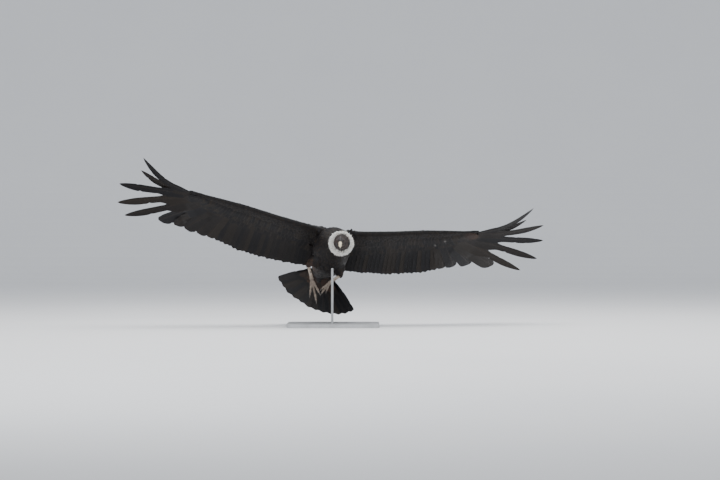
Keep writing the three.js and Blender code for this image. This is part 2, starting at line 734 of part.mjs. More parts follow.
function addBody() {
  add("torso", torsoGeometry(), "black", bodyFrame, 0.85);
  for (const [side, sign] of [["left", 1], ["right", -1]]) {
    add(`wing_${side}`, wingGeometry(sign, PRIMARY_TIPS[side], torsoClear), "black", bodyFrame, 0.8);
  }
  add("tail", tailGeometry(torsoClear), "black", bodyFrame, 0.8);
}

function addHead() {
  const neckInHead = neckClear.clone().applyMatrix4(inHead);
  const head = headGeometry(neckInHead);
  const upper = billUpperGeometry();
  const clearOf = (shape, grow) => shape.clone().translate(0, 0, grow);
  add("neck", fused([neckGeometry()], [torsoClear]), "skin", bodyFrame);
  add("ruff", ruffGeometry(torsoClear, neckClear), "white", bodyFrame, 0.95);
  add("head", head, "skin", headFrame);
  add("bill_upper", upper, "bill", headFrame, 0.4);
  add("bill_lower", billLowerGeometry(clearOf(upper, -GAP)), "bill", headFrame, 0.4);
  add("comb", combGeometry([clearOf(head, GAP), clearOf(upper, GAP)]), "comb", headFrame);
  add("wattle", wattleGeometry([clearOf(head, -GAP), neckInHead]), "comb", headFrame);
  for (const [side, sign] of [["left", 1], ["right", -1]]) {
    const [x, y, z] = EYE_PLACE;
    add(`eye_${side}`, ball(EYE_RADIUS, sign * x, y, z, [1, 1, 1], [14, 8]), "eye", headFrame, 0.15);
  }
}

function addLegs() {
  for (const [side, leg] of Object.entries(LEGS)) {
    const thigh = thighGeometry(leg, torsoClear);
    const reach = legPoint(leg.ankle).sub(legPoint(leg.hip)).normalize();
    const thighClear = tube(
      [-60, 0, 60].map((back) => legPoint(leg.ankle).addScaledVector(reach, GAP - 60 + back)),
      [30, 30, 30],
      14,
    );
    add(`thigh_${side}`, thigh, "black", bodyFrame, 0.85);
    add(`leg_${side}`, legGeometry(leg, [torsoClear, thighClear]), "leg", bodyFrame);
    for (const toe of TOES) add(`claw_${side}_${toe[0]}`, clawGeometry(leg, toe), "horn", bodyFrame, 0.35);
  }
}

function addStand() {
  add("stand_base", baseGeometry(), "stand", null, 0.5);
  add("stand_rod", rodGeometry(torsoClear.clone().applyMatrix4(bodyFrame)), "stand", null, 0.35);
}

addBody();
addHead();
addLegs();
addStand();

export default condor;
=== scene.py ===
"""An andean condor in soaring flight: skin, coat of feathers, head, feet and plain display stand."""
import math

import bmesh
import bpy
import numpy as np
from mathutils import Matrix, Vector, noise


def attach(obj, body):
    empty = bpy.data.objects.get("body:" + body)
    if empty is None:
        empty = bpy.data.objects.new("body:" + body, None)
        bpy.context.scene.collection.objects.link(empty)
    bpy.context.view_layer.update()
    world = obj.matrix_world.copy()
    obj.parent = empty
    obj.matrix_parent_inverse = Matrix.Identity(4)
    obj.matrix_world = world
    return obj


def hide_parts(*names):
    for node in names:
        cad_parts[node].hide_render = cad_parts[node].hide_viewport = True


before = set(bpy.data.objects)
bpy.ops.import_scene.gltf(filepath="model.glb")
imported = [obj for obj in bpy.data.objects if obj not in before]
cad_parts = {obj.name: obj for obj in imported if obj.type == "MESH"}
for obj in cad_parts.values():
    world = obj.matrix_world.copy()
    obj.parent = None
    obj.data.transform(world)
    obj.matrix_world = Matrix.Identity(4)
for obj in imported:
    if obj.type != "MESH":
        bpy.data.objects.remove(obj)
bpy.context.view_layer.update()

# Sizes are in millimetres in the body frame, as in the part's source: x to the bird's left,
# y backward, z up through the back. MM turns them into the scene's metres.
MM = 0.001
HEADING = math.radians(9.5)
NOSE_UP = math.radians(38)
BANK = math.radians(2)
FLIGHT_POINT = Vector((-20, 45, 545))

TORSO_RINGS = [
    (-246, 27, -126, 52, 48),
    (-222, 20, -100, 84, 84),
    (-185, 11, -70, 112, 122),
    (-135, 4, -56, 132, 138),
    (-60, 0, -60, 136, 134),
    (30, 0, -66, 128, 120),
    (110, -5, -64, 112, 98),
    (175, -12, -58, 92, 72),
    (236, -20, -50, 68, 46),
]
WING_RINGS = [
    (60, -160, 34, 205, -14),
    (140, -185, 32, 215, -8),
    (230, -209, 28, 238, 2),
    (400, -228, 45, 252, 26),
    (640, -236, 92, 236, 58),
    (780, -234, 116, 200, 88),
    (900, -216, 148, 195, 124),
    (1045, -180, 208, 200, 178),
]
TIP_RINGS = {1: (1600, -150, 452, 200, 300), -1: (1600, -150, 412, 200, 128)}
CAMBER = 20
CORE_RINGS = [
    (60, 200, 62),
    (160, 190, 48),
    (420, 172, 40),
    (700, 150, 34),
    (860, 100, 26),
    (960, 66, 19),
    (1030, 40, 12),
]
CORE_SECTION = [
    (0, 0), (0.08, 0.4), (0.3, 0.6), (0.62, 0.5), (1, 0.26),
    (1, -0.24), (0.62, -0.3), (0.3, -0.34), (0.08, -0.28),
]
PRIMARY_TIPS = {
    1: [
        (850, 200, 118), (930, 202, 150), (1050, 214, 200), (1236, 268, 262), (1446, 290, 268),
        (1545, 185, 312), (1563, 66, 392), (1545, -20, 462), (1400, -84, 436), (1438, -150, 498),
    ],
    -1: [
        (850, 200, 112), (925, 200, 132), (1015, 204, 160), (1090, 215, 188), (1205, 232, 226),
        (1447, 180, 186), (1508, 64, 200), (1513, -16, 302), (1375, -84, 392), (1372, -150, 452),
    ],
}
SIDES = {1: "left", -1: "right"}
FINGER_WIDTH = 46
# The first primary that ends as a free finger, the width of each before its notch, and how far
# its middle bows backward.
FIRST_FINGER = {1: 4, -1: 5}
PRIMARY_WIDTHS = {
    1: (74, 80, 86, 92, 96, 86, 76, 64, 56, 48),
    -1: (74, 80, 84, 88, 94, 100, 86, 68, 56, 48),
}
PRIMARY_BOWS = {
    1: (0, 0, 0, 10, 24, 16, 8, 0, 0, 0),
    -1: (0, 0, 0, 4, 14, 38, 32, 12, 0, 0),
}
SECONDARIES = 23
SECONDARY_WIDTH = 62
VANE_TILT = math.tan(math.radians(4.2))
RIM_ANGLE = 50

TAIL_PIVOT = Vector((-20, 155, -50))
TAIL_LENGTH = 467
TAIL_HALF_SPREAD = 41
TAIL_AIM = math.radians(0.5)
TAIL_DROOP = math.radians(3)
TAIL_TWIST = math.radians(-20)
TAIL_FEATHERS = 12
TAIL_WIDTH = 76

RUFF_PLACE = Vector((35, -242, -135))
# Reach and radius of the collar's cushion, and the length of its down.
COLLAR = [(-36, 59), (-20, 65), (-6, 69), (8, 69), (21, 65), (32, 57)]
DOWN_LENGTH = 17
TUFTS_A_PIECE = 2800
# How far from its middle the collar counts as such, and where the bare neck starts in it.
COLLAR_LIMIT = 76
BARE_FROM = 30
# Middle and half width, around the collar, of the gap in its down at the throat.
THROAT_GAP = (4.47, 0.09)
NECK_RADII = (54, 56, 58, 56, 49, 42, 36.5, 33)
# The neck leaves the collar this far from its middle: across, up.
NECK_SHIFT = (-5, 9)
HEAD_REACH = 150
NAPE_REACH = HEAD_REACH - 44
EYE_RADIUS = 8
EYE_PLACE = (24.6, -13, 9)
BILL_START = 52

# Hip, ankle, foot and tip of the middle toe of each leg.
LEGS = {
    -1: {
        "hip": (-70, -30, -118), "ankle": (-150, 12, -152), "foot": (-106, 124, -190), "toe": (-42, 250, -306),
    },
    1: {
        "hip": (60, 0, -124), "ankle": (92, 66, -166), "foot": (26, 140, -194), "toe": (-26, 232, -244),
    },
}
# Toes: name, turn from the middle one, share of its length, droop.
TOES = [("inner", 17, 0.7, 0), ("middle", 0, 1, 0), ("outer", -17, 0.74, 0), ("hind", 165, 0.36, -0.6)]
TOE_RADIUS = 7
CLAW_LENGTH = 24

# Depth, feather length and spacing of the body coat, and how deep its feathers are rooted.
COAT_DEPTH = 9
COAT_LENGTH = 38
COAT_SPACING = 8.7
ROOT_DEPTH = 1.6
# Grids that the fused shells of body, head, legs, bill, comb and wattle are closed up with.
BODY_GRID = 5.2
HEAD_GRID = 1.5
LEG_GRID = 1.25
BILL_GRID = 0.8
COMB_GRID = 0.95
WATTLE_GRID = 0.9

# Where the body's coat is parted into pieces, from front to rear.
COAT_PARTINGS = (-110, 50)
# Span, front and depth of a wing on the bake map, and the size of a feather's patch there.
MAP_SPAN = 1100
MAP_FRONT = 240
MAP_DEPTH = 480
PATCH = 0.003

FULL_TURN = 2 * np.pi
rng = np.random.default_rng(4049)

body_frame = (
    Matrix.Translation(FLIGHT_POINT)
    @ Matrix.Rotation(BANK, 4, "Y")
    @ Matrix.Rotation(-NOSE_UP, 4, "X")
    @ Matrix.Rotation(HEADING, 4, "Z")
)
BODY = np.array(body_frame)


def smooth(low, high, x):
    """Soft step from 0 at low to 1 at high."""
    t = np.clip((np.asarray(x, float) - low) / (high - low), 0, 1)
    return t * t * (3 - 2 * t)


def mix(a, b, share):
    return a + (b - a) * share


def column(table, at, index):
    """One column of a table at a place between its rows."""
    rows = np.array(table, float)
    return np.interp(at, rows[:, 0], rows[:, index])


def row_at(table, at):
    """All columns of a table but the first, at a place between its rows."""
    return [column(table, at, index) for index in range(1, len(table[0]))]


def angles(sides):
    """Even angles once round."""
    return np.arange(sides) / sides * FULL_TURN


def to_world(points, grid=BODY):
    """Points of a frame in millimetres as world points in metres."""
    points = np.asarray(points, float)
    return (points @ grid[:3, :3].T + grid[:3, 3]) * MM


def to_body(points):
    """World points in metres as body-frame millimetres."""
    points = np.asarray(points, float) / MM
    return (points - BODY[:3, 3]) @ BODY[:3, :3]


def unit(vectors):
    return vectors / (np.linalg.norm(vectors, axis=-1, keepdims=True) + 1e-12)


# Meshes


def linked(piece):
    """Puts an object into the scene."""
    bpy.context.scene.collection.objects.link(piece)
    return piece


def rounded(piece):
    """Shades all faces of a piece smooth."""
    piece.data.polygons.foreach_set("use_smooth", np.ones(len(piece.data.polygons), bool))
    return piece


def mark(piece, label, numbers):
    """Stores a number at each point of a piece."""
    layer = piece.data.attributes.new(label, "FLOAT", "POINT")
    layer.data.foreach_set("value", np.asarray(numbers, np.float32))


def make_mesh(name, points, faces, uvs=None, values=None, sharp=None):
    """Mesh object from world points, with maps and values per point; sharper edges than given stay crisp."""
    mesh = bpy.data.meshes.new(name)
    faces = np.asarray(faces)
    size = faces.shape[1]
    mesh.vertices.add(len(points))
    mesh.vertices.foreach_set("co", np.asarray(points, np.float32).ravel())
    mesh.loops.add(faces.size)
    mesh.loops.foreach_set("vertex_index", faces.astype(np.int32).ravel())
    mesh.polygons.add(len(faces))
    mesh.polygons.foreach_set("loop_start", np.arange(0, faces.size, size, dtype=np.int32))
    mesh.polygons.foreach_set("loop_total", np.full(len(faces), size, np.int32))
    piece = rounded(linked(bpy.data.objects.new(name, mesh)))
    for label, data in (uvs or {}).items():
        layer = mesh.uv_layers.new(name=label)
        layer.data.foreach_set("uv", np.asarray(data, np.float32)[faces.ravel()].ravel())
    for label, data in (values or {}).items():
        mark(piece, label, data)
    mesh.update(calc_edges=True)
    mesh.validate()
    if sharp:
        mesh.set_sharp_from_angle(angle=math.radians(sharp))
    return piece


def ring_faces(rings, sides):
    """Quads of a tube of rings."""
    ring = np.arange(rings - 1)[:, None] * sides
    side = np.arange(sides)[None, :]
    nxt = (side + 1) % sides
    quads = np.stack([ring + side, ring + nxt, ring + sides + nxt, ring + sides + side], -1)
    return quads.reshape(-1, 4)


def closed_tube(rings, name, grid=BODY):
    """Closed shell over a stack of rings of points in one frame."""
    rings = np.asarray(rings, float)
    count, sides, _ = rings.shape
    points = np.concatenate([rings.reshape(-1, 3), rings[0].mean(0)[None], rings[-1].mean(0)[None]])
    faces = [tuple(q) for q in ring_faces(count, sides)]
    first, last = count * sides, count * sides + 1
    for side in range(sides):
        nxt = (side + 1) % sides
        faces.append((first, nxt, side))
        faces.append((last, (count - 1) * sides + side, (count - 1) * sides + nxt))
    mesh = bpy.data.meshes.new(name)
    mesh.from_pydata([tuple(p) for p in to_world(points, grid)], [], faces)
    return linked(bpy.data.objects.new(name, mesh))


def tube_rings(points, radii, sides=20, detail=6):
    """Rings along a smooth curve through points, with a radius at each point."""
    points = np.asarray(points, float)
    at = np.arange(len(points), dtype=float)
    fine = np.linspace(0, len(points) - 1, (len(points) - 1) * detail + 1)
    padded = np.vstack([2 * points[0] - points[1], points, 2 * points[-1] - points[-2]])
    path = []
    for t in fine:
        i = min(int(t), len(points) - 2)
        f = t - i
        a, b, c, d = padded[i:i + 4]
        path.append(0.5 * (2 * b + (c - a) * f + (2 * a - 5 * b + 4 * c - d) * f * f
                           + (3 * b - a - 3 * c + d) * f ** 3))
    path = np.array(path)
    aim = unit(np.gradient(path, axis=0))
    hint = np.array([1.0, 0, 0]) if abs(aim[len(aim) // 2, 2]) > 0.9 else np.array([0, 0, 1.0])
    across = unit(np.cross(aim, hint))
    up = np.cross(across, aim)
    size = np.interp(fine, at, radii)
    turn = angles(sides)
    circle = np.cos(turn)[None, :, None] * across[:, None] + np.sin(turn)[None, :, None] * up[:, None]
    return path[:, None] + circle * size[:, None, None]


def joined(pieces):
    """Several objects as one, under the first one's name."""
    bpy.ops.object.select_all(action="DESELECT")
    for piece in pieces:
        piece.select_set(True)
    bpy.context.view_layer.objects.active = pieces[0]
    bpy.ops.object.join()
    return pieces[0]


def fuse(pieces, name, grid, smoothing=2):
    """Overlapping closed shells as one even, seamless mesh on a grid of that many millimetres."""
    whole = joined(pieces)
    remesh = whole.modifiers.new("grid", "REMESH")
    remesh.mode = "VOXEL"
    remesh.voxel_size = grid * MM
    relax = whole.modifiers.new("relax", "SMOOTH")
    relax.factor = 0.5
    relax.iterations = smoothing
    fused = baked(whole, name)
    bpy.data.objects.remove(whole)
    return fused


def baked(source, name):
    """Plain mesh object of what an object's modifiers give."""
    bpy.context.view_layer.update()
    graph = bpy.context.evaluated_depsgraph_get()
    mesh = bpy.data.meshes.new_from_object(source.evaluated_get(graph), depsgraph=graph)
    mesh.name = name
    return linked(bpy.data.objects.new(name, mesh))


def vectors_of(piece, label):
    numbers = np.empty(len(piece.data.vertices) * 3, np.float32)
    piece.data.vertices.foreach_get(label, numbers)
    return numbers.reshape(-1, 3).astype(float)


def points_of(piece):
    return vectors_of(piece, "co")


def normals_of(piece):
    return vectors_of(piece, "normal")


def shape_to(piece, points):
    """Moves the points of a piece to new places."""
    piece.data.vertices.foreach_set("co", np.asarray(points, np.float32).ravel())
    piece.data.update()
    rounded(piece)


def swell(piece, push):
    """Moves each point of a piece along its normal, in millimetres."""
    shape_to(piece, points_of(piece) + normals_of(piece) * push[:, None] * MM)


def mended(piece):
    """Doubled points merged and faces turned outward."""
    form = bmesh.new()
    form.from_mesh(piece.data)
    bmesh.ops.remove_doubles(form, verts=form.verts, dist=1e-6)
    bmesh.ops.recalc_face_normals(form, faces=form.faces)
    form.to_mesh(piece.data)
    form.free()
    return rounded(piece)


def rough(points, scale, octaves=3):
    """Uneven height at each point, about -1 to 1."""
    return np.array([noise.fractal(Vector(p) * scale, 1.0, 2.0, octaves) for p in points])


# Surfaces of the body


def wing_height(sign, span, y):
    """Height of the middle surface of one wing."""
    lead_y, lead_z, trail_y, trail_z = row_at(WING_RINGS + [TIP_RINGS[sign]], span)
    share = (y - lead_y) / (trail_y - lead_y)
    arch = CAMBER * np.sin(np.pi * np.clip(share, 0, 1)) * np.clip(1 - (span - 600) / 700, 0.2, 1)
    return mix(lead_z, trail_z, np.clip(share, -0.2, 1.3)) + arch


def torso_rings(inset, sides=44, steps=44):
    """Body rings, with the rows of the table joined by an even curve."""
    turn = angles(sides)
    rings = []
    for at in np.linspace(TORSO_RINGS[0][0], TORSO_RINGS[-1][0], steps):
        x, z, wide, tall = row_at(TORSO_RINGS, at)
        rings.append(np.stack([x + (wide - inset) * np.cos(turn), np.full(sides, at),
                               z + (tall - inset) * np.sin(turn)], -1))
    return rings


def core_rings(sign, inset, steps=48):
    """Sections of the fleshy part of a wing."""
    rings = []
    for span in np.linspace(40, CORE_RINGS[-1][0] - 4, steps):
        depth, thick = row_at(CORE_RINGS, span)
        lead = column(WING_RINGS, span, 1)
        ring = []
        for back, rise in CORE_SECTION:
            y = lead + inset * 0.6 + back * (depth - inset)
            ring.append((sign * span, y, wing_height(sign, span, y) + rise * (thick - inset * 1.2)))
        rings.append(ring)
    return rings


neck_aim = np.array(Vector((0, -1, 0)) @ body_frame.to_3x3())
collar_across = unit(np.cross(neck_aim, [0, 0, 1.0]))
collar_up = np.cross(collar_across, neck_aim)
neck_shift = collar_across * NECK_SHIFT[0] + collar_up * NECK_SHIFT[1]


def neck_point(reach):
    return np.array(RUFF_PLACE) + neck_aim * reach


def collar_point(reach):
    """Middle of the collar's ring at each reach: its front follows the neck off centre."""
    reach = np.asarray(reach, float)[..., None]
    return np.array(RUFF_PLACE) + neck_aim * reach + neck_shift * smooth(-6, 32, reach)


head_place = Vector(to_world(neck_point(HEAD_REACH)) / MM) + Vector((-3, 0, 6))
HEAD = np.array(Matrix.Translation(head_place) @ Matrix.Rotation(math.radians(6), 4, "X"))


def to_head(points):
    """World points in metres as head-frame millimetres."""
    points = np.asarray(points, float) / MM
    return (points - HEAD[:3, 3]) @ HEAD[:3, :3]


def head_rings(rows, sides=40, steps=40):
    """Oval rings along the head from rows of reach, half width, rise and depth."""
    turn = angles(sides)
    rings = []
    for at in np.linspace(rows[0][0], rows[-1][0], steps):
        wide, rise, deep = row_at(rows, at)
        tall = np.where(np.sin(turn) > 0, rise, deep)
        rings.append(np.stack([wide * np.cos(turn), np.full(sides, -at), tall * np.sin(turn)], -1))
    return rings


def ball_rings(radius, place, stretch=(1, 1, 1), sides=20, steps=12):
    """Rings of a stretched ball."""
    polar = np.linspace(0.02, np.pi - 0.02, steps)
    turn = angles(sides)
    rings = []
    for angle in polar:
        ring = np.stack([np.sin(angle) * np.cos(turn), np.full(sides, np.cos(angle)),
                         np.sin(angle) * np.sin(turn)], -1)
        rings.append(ring * radius * np.array(stretch) + np.array(place))
    return rings


def leg_points(sign):
    """Places of one leg, the length of its middle toe without claw, and the toe's own directions."""
    leg = {key: np.array(value, float) for key, value in LEGS[sign].items()}
    aim = unit(leg["toe"] - leg["foot"])
    leg["length"] = np.linalg.norm(leg["toe"] - leg["foot"]) - CLAW_LENGTH
    leg["aim"] = aim
    leg["across"] = unit(np.cross(aim, [0, 0, 1.0]))
    leg["up"] = np.cross(leg["across"], aim)
    return leg


# Skin


def build_skin():
    """One skin under the coat: body, wings, collar, thighs, neck and head."""
    shells = [closed_tube(torso_rings(COAT_DEPTH), "torso_shell")]
    for sign in (1, -1):
        shells.append(closed_tube(core_rings(sign, 5), "wing_shell"))
        leg = leg_points(sign)
        path = [mix(leg["hip"], leg["ankle"], s) for s in (0, 0.3, 0.6, 0.85, 0.97, 1.02)]
        shells.append(closed_tube(tube_rings(path, [43, 39, 30, 20, 15.5, 11]), "thigh_shell"))
    tail_path = [np.array(TAIL_PIVOT) + TAIL_VECTORS[0] * reach for reach in (40, 90, 140, 195)]
    shells.append(closed_tube(tube_rings(tail_path, [42, 34, 24, 12]), "rump_shell"))
    collar = [collar_point(reach) for reach, _ in COLLAR]
    shells.append(closed_tube(tube_rings(collar, [radius for _, radius in COLLAR], 32), "collar_shell"))
    lower = fuse(shells, "lower_skin", BODY_GRID, 4)

    neck = [neck_point(reach) + neck_shift * (1 - max(0, reach - 34) / 84)
            for reach in np.linspace(-16, NAPE_REACH + 12, len(NECK_RADII))]
    upper_shells = [closed_tube(tube_rings(neck, NECK_RADII, 48), "neck_shell"),
                    closed_tube(head_rings(SKULL_RINGS), "skull_shell", HEAD)]
    eye_x, eye_y, eye_z = EYE_PLACE
    for sign in (1, -1):
        for radius, place, stretch in HEAD_FORMS:
            spot = (sign * place[0], place[1], place[2])
            upper_shells.append(closed_tube(ball_rings(radius, spot, stretch), "form", HEAD))
        turn = np.linspace(0, 2 * np.pi, 25)[:-1]
        lid = [(sign * (eye_x + 4.6 - 1.2 * abs(np.cos(t))), eye_y + (EYE_RADIUS + 0.7) * np.cos(t),
                eye_z + (EYE_RADIUS - 0.6) * np.sin(t)) for t in np.append(turn, turn[:2])]
        upper_shells.append(closed_tube(tube_rings(lid, [2.0] * len(lid), 10, 2), "lid_shell", HEAD))
    upper = fuse(upper_shells, "upper_skin", HEAD_GRID, 2)
    carve_head(upper)
    skin = joined([lower, upper])
    skin.name = skin.data.name = "skin"
    return skin


# Rings of the skull: forward reach, half width, rise and depth.
SKULL_RINGS = [
    (-54, 28, 27, 30), (-40, 31, 31.5, 32.5), (-24, 32.3, 33.8, 33.6), (-8, 32.2, 34, 33), (4, 31, 33, 31),
    (16, 29, 30.6, 29.4), (28, 25, 27, 27), (40, 19.6, 21, 23), (51.5, 15, 16.6, 18),
]
# Raised forms of one side of the head: radius, place, stretch. Brow, cheek, jaw corner, ear rim.
HEAD_FORMS = [
    (6.5, (24, -15, 20), (0.8, 2.2, 0.6)),
    (9, (25, 6, -15), (0.6, 1.7, 0.6)),
    (8, (24, 26, -10), (0.7, 1.3, 1.5)),
    (6, (28.5, 18, 4), (0.8, 1.0, 1.3)),
    (5, (16, -38, -9), (0.8, 2.4, 0.5)),
    (7, (27, 2, 22), (0.6, 1.8, 0.7)),
]


def carve_head(upper):
    """Eye sockets, ear cups, mouth line, creases and ring folds, pushed into the fused skin."""
    local = to_head(points_of(upper))
    x, y, z = local.T
    side = np.sign(x)
    eye_x, eye_y, eye_z = EYE_PLACE
    away = local - np.stack([side * eye_x, np.full(len(side), eye_y), np.full(len(side), eye_z)], -1)
    distance = np.linalg.norm(away, axis=1)
    from_pupil = np.hypot(away[:, 1], away[:, 2])
    outward = np.abs(x) > eye_x

    ear = np.sqrt((y - 19) ** 2 + ((z - 4) / 1.4) ** 2)
    push = -5.5 * (1 - smooth(1.6, 4.2, ear)) * (np.abs(x) > 18)
    mouth_line = np.abs(z + 7.5 + 0.05 * (y + 40))
    along_mouth = smooth(-30, -36, y) * (np.abs(x) > 4)
    push -= 1.8 * (1 - smooth(0.5, 1.8, mouth_line)) * along_mouth

    coarse = rough(local, 0.06, 3)
    fine = rough(local * np.array([1, 0.45, 1]), 0.19, 4)
    reach = -y
    neck_share = 1 - smooth(-62, -34, reach)
    fold = np.sin(reach * 0.62 + 4.2 * coarse + 0.5 * np.sin(np.arctan2(z, x) * 2))
    push += neck_share * (1.9 * np.sign(fold) * np.abs(fold) ** 0.6)
    face = (1 - neck_share) * (1 - smooth(38, 50, reach))
    crease = np.abs(np.sin(reach * 0.33 + z * 0.22 + 3.2 * coarse)) ** 0.5
    push += face * (0.95 * (crease - 0.8) + 0.55 * fine)

    socket = (1 - smooth(EYE_RADIUS - 2.4, EYE_RADIUS - 1.2, from_pupil)) * outward
    lid_zone = (1 - smooth(EYE_RADIUS + 1.5, EYE_RADIUS + 8, from_pupil)) * outward
    push += lid_zone * 0.55 * np.sin((from_pupil - EYE_RADIUS) * 2.1) * (1 - socket)
    push += 0.45 * fine * neck_share
    push *= smooth(EYE_RADIUS - 1, EYE_RADIUS + 3, distance)

    # The skin stays clear of the eyeball all round and sinks in over it.
    clearance = np.maximum(EYE_RADIUS + 0.35 - distance, 0)
    shift = unit(away) * clearance[:, None] - np.array([1.0, 0, 0]) * (side * socket * 2.6)[:, None]
    shape_to(upper, points_of(upper) + (normals_of(upper) * push[:, None] + shift @ HEAD[:3, :3].T) * MM)


def tail_vectors():
    """Aim, sideways and upward directions of the tail fan."""
    aim = np.array([-math.sin(TAIL_AIM) * math.cos(TAIL_DROOP), math.cos(TAIL_AIM) * math.cos(TAIL_DROOP),
                    -math.sin(TAIL_DROOP)])
    flat = np.array([math.cos(TAIL_AIM), math.sin(TAIL_AIM), 0])
    across = flat * math.cos(TAIL_TWIST) + np.cross(flat, aim) * math.sin(TAIL_TWIST)
    return aim, across, unit(np.cross(across, aim))


TAIL_VECTORS = tail_vectors()

# Unwrap of the skin's own shape: each part of the body has a window of the bake map, as the place
# of its corner, its width and its height.
WINDOWS = {
    "torso": (0.02, 0.52, 0.46, 0.46),
    "upper_1": (0.52, 0.52, 0.46, 0.21),
    "lower_1": (0.52, 0.76, 0.46, 0.21),
    "upper_-1": (0.02, 0.02, 0.46, 0.21),
    "lower_-1": (0.02, 0.26, 0.46, 0.21),
    "collar": (0.52, 0.02, 0.21, 0.10),
    "head": (0.52, 0.14, 0.21, 0.10),
    "thigh_1": (0.76, 0.02, 0.21, 0.10),
    "thigh_-1": (0.76, 0.14, 0.21, 0.10),
    "tail": (0.52, 0.26, 0.46, 0.21),
}


def window(part, a, b):
    """Place on the bake map of two shares along a part's own surface."""
    x, y, wide, tall = WINDOWS[part]
    return np.stack([x + wide * np.clip(a, 0, 1), y + tall * np.clip(b, 0, 1)], -1)


def wing_window(face, sign, span, y):
    """Place on the bake map of a point of one face of a wing."""
    return window(f"{face}_{sign}", span / MAP_SPAN, (y + MAP_FRONT) / MAP_DEPTH)


# Flight feathers and coverts


class Quills:
    """Collects feathers of one piece, each a closed vane with a raised shaft."""

    ACROSS = np.array([-1, -0.72, -0.34, -0.07, 0, 0.07, 0.34, 0.72, 1])

    def __init__(self):
        self.points, self.faces, self.vane, self.bake = [], [], [], []
        self.tint, self.pale, self.rust = [], [], []
        self.count = 0

    def add(self, spine, up, inner, outer, thickness, outward, root, tilt=VANE_TILT, cup=0.05, pale=0.0,
            rust=0.0):
        """One feather: spine points, half widths on both sides and thickness at each, in body millimetres."""
        spine = np.asarray(spine, float)
        steps = len(spine)
        aim = unit(np.gradient(spine, axis=0))
        side = unit(np.cross(aim, up))
        side *= np.sign((side @ np.asarray(outward)).sum()) or 1
        slope = side + np.asarray(up)[None] * np.broadcast_to(tilt, steps)[:, None]
        normal = unit(np.cross(side, aim))
        normal *= np.sign((normal @ np.asarray(up)).sum()) or 1
        across = self.ACROSS
        reach = np.where(across[None] < 0, -across[None] * -inner[:, None], across[None] * outer[:, None])
        width = inner + outer
        arch = -cup * width[:, None] * across[None] ** 2
        shaft = np.exp(-(across[None] / 0.09) ** 2) * thickness[:, None] * 0.7
        half = thickness[:, None] * 0.5 * (1 - 0.75 * np.abs(across[None]))
        middle = spine[:, None] + slope[:, None] * reach[..., None] + normal[:, None] * arch[..., None]
        top = middle + normal[:, None] * (half + shaft)[..., None]
        low = middle - normal[:, None] * (half + shaft * 0.7)[..., None]
        ring = np.concatenate([top, low[:, ::-1]], 1)
        sides = ring.shape[1]
        cap = np.array([[i, i + 1, sides - 2 - i, sides - 1 - i] for i in range(len(across) - 1)])
        quads = np.concatenate([ring_faces(steps, sides), cap, cap[:, ::-1] + (steps - 1) * sides])
        if np.linalg.det(np.stack([aim[0], side[0], normal[0]])) < 0:
            quads = quads[:, ::-1]
        self.points.append(ring.reshape(-1, 3))
        self.faces.append(quads + self.count)
        across_uv = np.concatenate([across, across[::-1]]) * 0.5 + 0.5
        along_uv = np.linspace(0, 1, steps)
        vane = np.stack(np.broadcast_arrays(across_uv[None], along_uv[:, None]), -1).reshape(-1, 2)
        self.vane.append(vane)
        self.bake.append(np.asarray(root)[None] + (vane - 0.5) * PATCH)
        total = steps * sides
        self.count += total
        self.tint.append(np.full(total, rng.random()))
        upper_face = np.tile(np.arange(sides) < len(across), steps)
        pale_here = pale(vane, upper_face) if callable(pale) else pale
        self.pale.append(np.broadcast_to(pale_here, total).astype(float))
        self.rust.append(np.full(total, rust))

    def piece(self, name):
        return make_mesh(
            name,
            to_world(np.concatenate(self.points)),
            np.concatenate(self.faces),
            {"OFBake": np.concatenate(self.bake), "vane": np.concatenate(self.vane)},
            {"tint": np.concatenate(self.tint), "pale": np.concatenate(self.pale),
             "rust": np.concatenate(self.rust)},
            sharp=RIM_ANGLE,
        )


def vane_width(share, root, tip_from=0.86, tip_power=0.55, notches=2):
    """Share of a vane's full half width along it: narrow root, round tip, a few split barbs."""
    body = mix(root, 1, smooth(0, 0.28, share))
    end = np.clip((share - tip_from) / (1 - tip_from), 0, 1)
    rounded = (1 - end ** 2.2) ** tip_power
    gaps = np.ones(len(share))
    for _ in range(notches):
        at = rng.uniform(0.35, 0.97)
        gaps -= rng.uniform(0.05, 0.2) * np.exp(-((share - at) / 0.012) ** 2)
    return body * np.maximum(rounded, 0.06) * gaps


def wing_feather(quills, sign, root, tip, form):
    """A feather laid in the wing's surface from root to tip."""
    steps = form.get("steps", 16)
    share = np.linspace(0, 1, steps) ** 0.94
    span = mix(root[0], tip[0], share)
    y = mix(root[1], tip[1], share) + form.get("bow", 0) * np.sin(np.pi * share)
    curl = form.get("curl", 0) * np.clip((share - 0.34) / 0.66, 0, 1) ** 1.7
    raised = mix(form.get("root_lift", 0), form.get("lift", 0), np.clip(share * 2.2, 0, 1))
    z = wing_height(sign, span, y) + raised + curl
    spine = np.stack([sign * span, y, z], -1)
    width = form["width"](share)
    bake = wing_window("upper" if form.get("lift", 0) >= 0 else "lower", sign, *root)
    outer = form.get("outer", 0.4)
    quills.add(spine, np.array([0, 0, 1.0]), width * (1 - outer) * vane_width(share, form["root"]),
               width * outer * vane_width(share, form["root"]), form["thick"] * (1 - 0.6 * share),
               (sign, -1, 0), bake, tilt=VANE_TILT + side_slope(sign, spine, span, y),
               cup=form.get("cup", 0.012), pale=form.get("pale", 0.0), rust=form.get("rust", 0.0))


def side_slope(sign, spine, span, y, reach=12):
    """Rise of the wing's surface along each step's outward side, so that vanes lie on it like shingles."""
    aim = unit(np.gradient(spine, axis=0))
    side = unit(np.cross(aim, [0, 0, 1.0]))
    side *= np.sign((side @ np.array([sign, -1, 0])).sum())
    out, back = sign * side[:, 0] * reach, side[:, 1] * reach
    return (wing_height(sign, span + out, y + back) - wing_height(sign, span - out, y - back)) / (2 * reach)


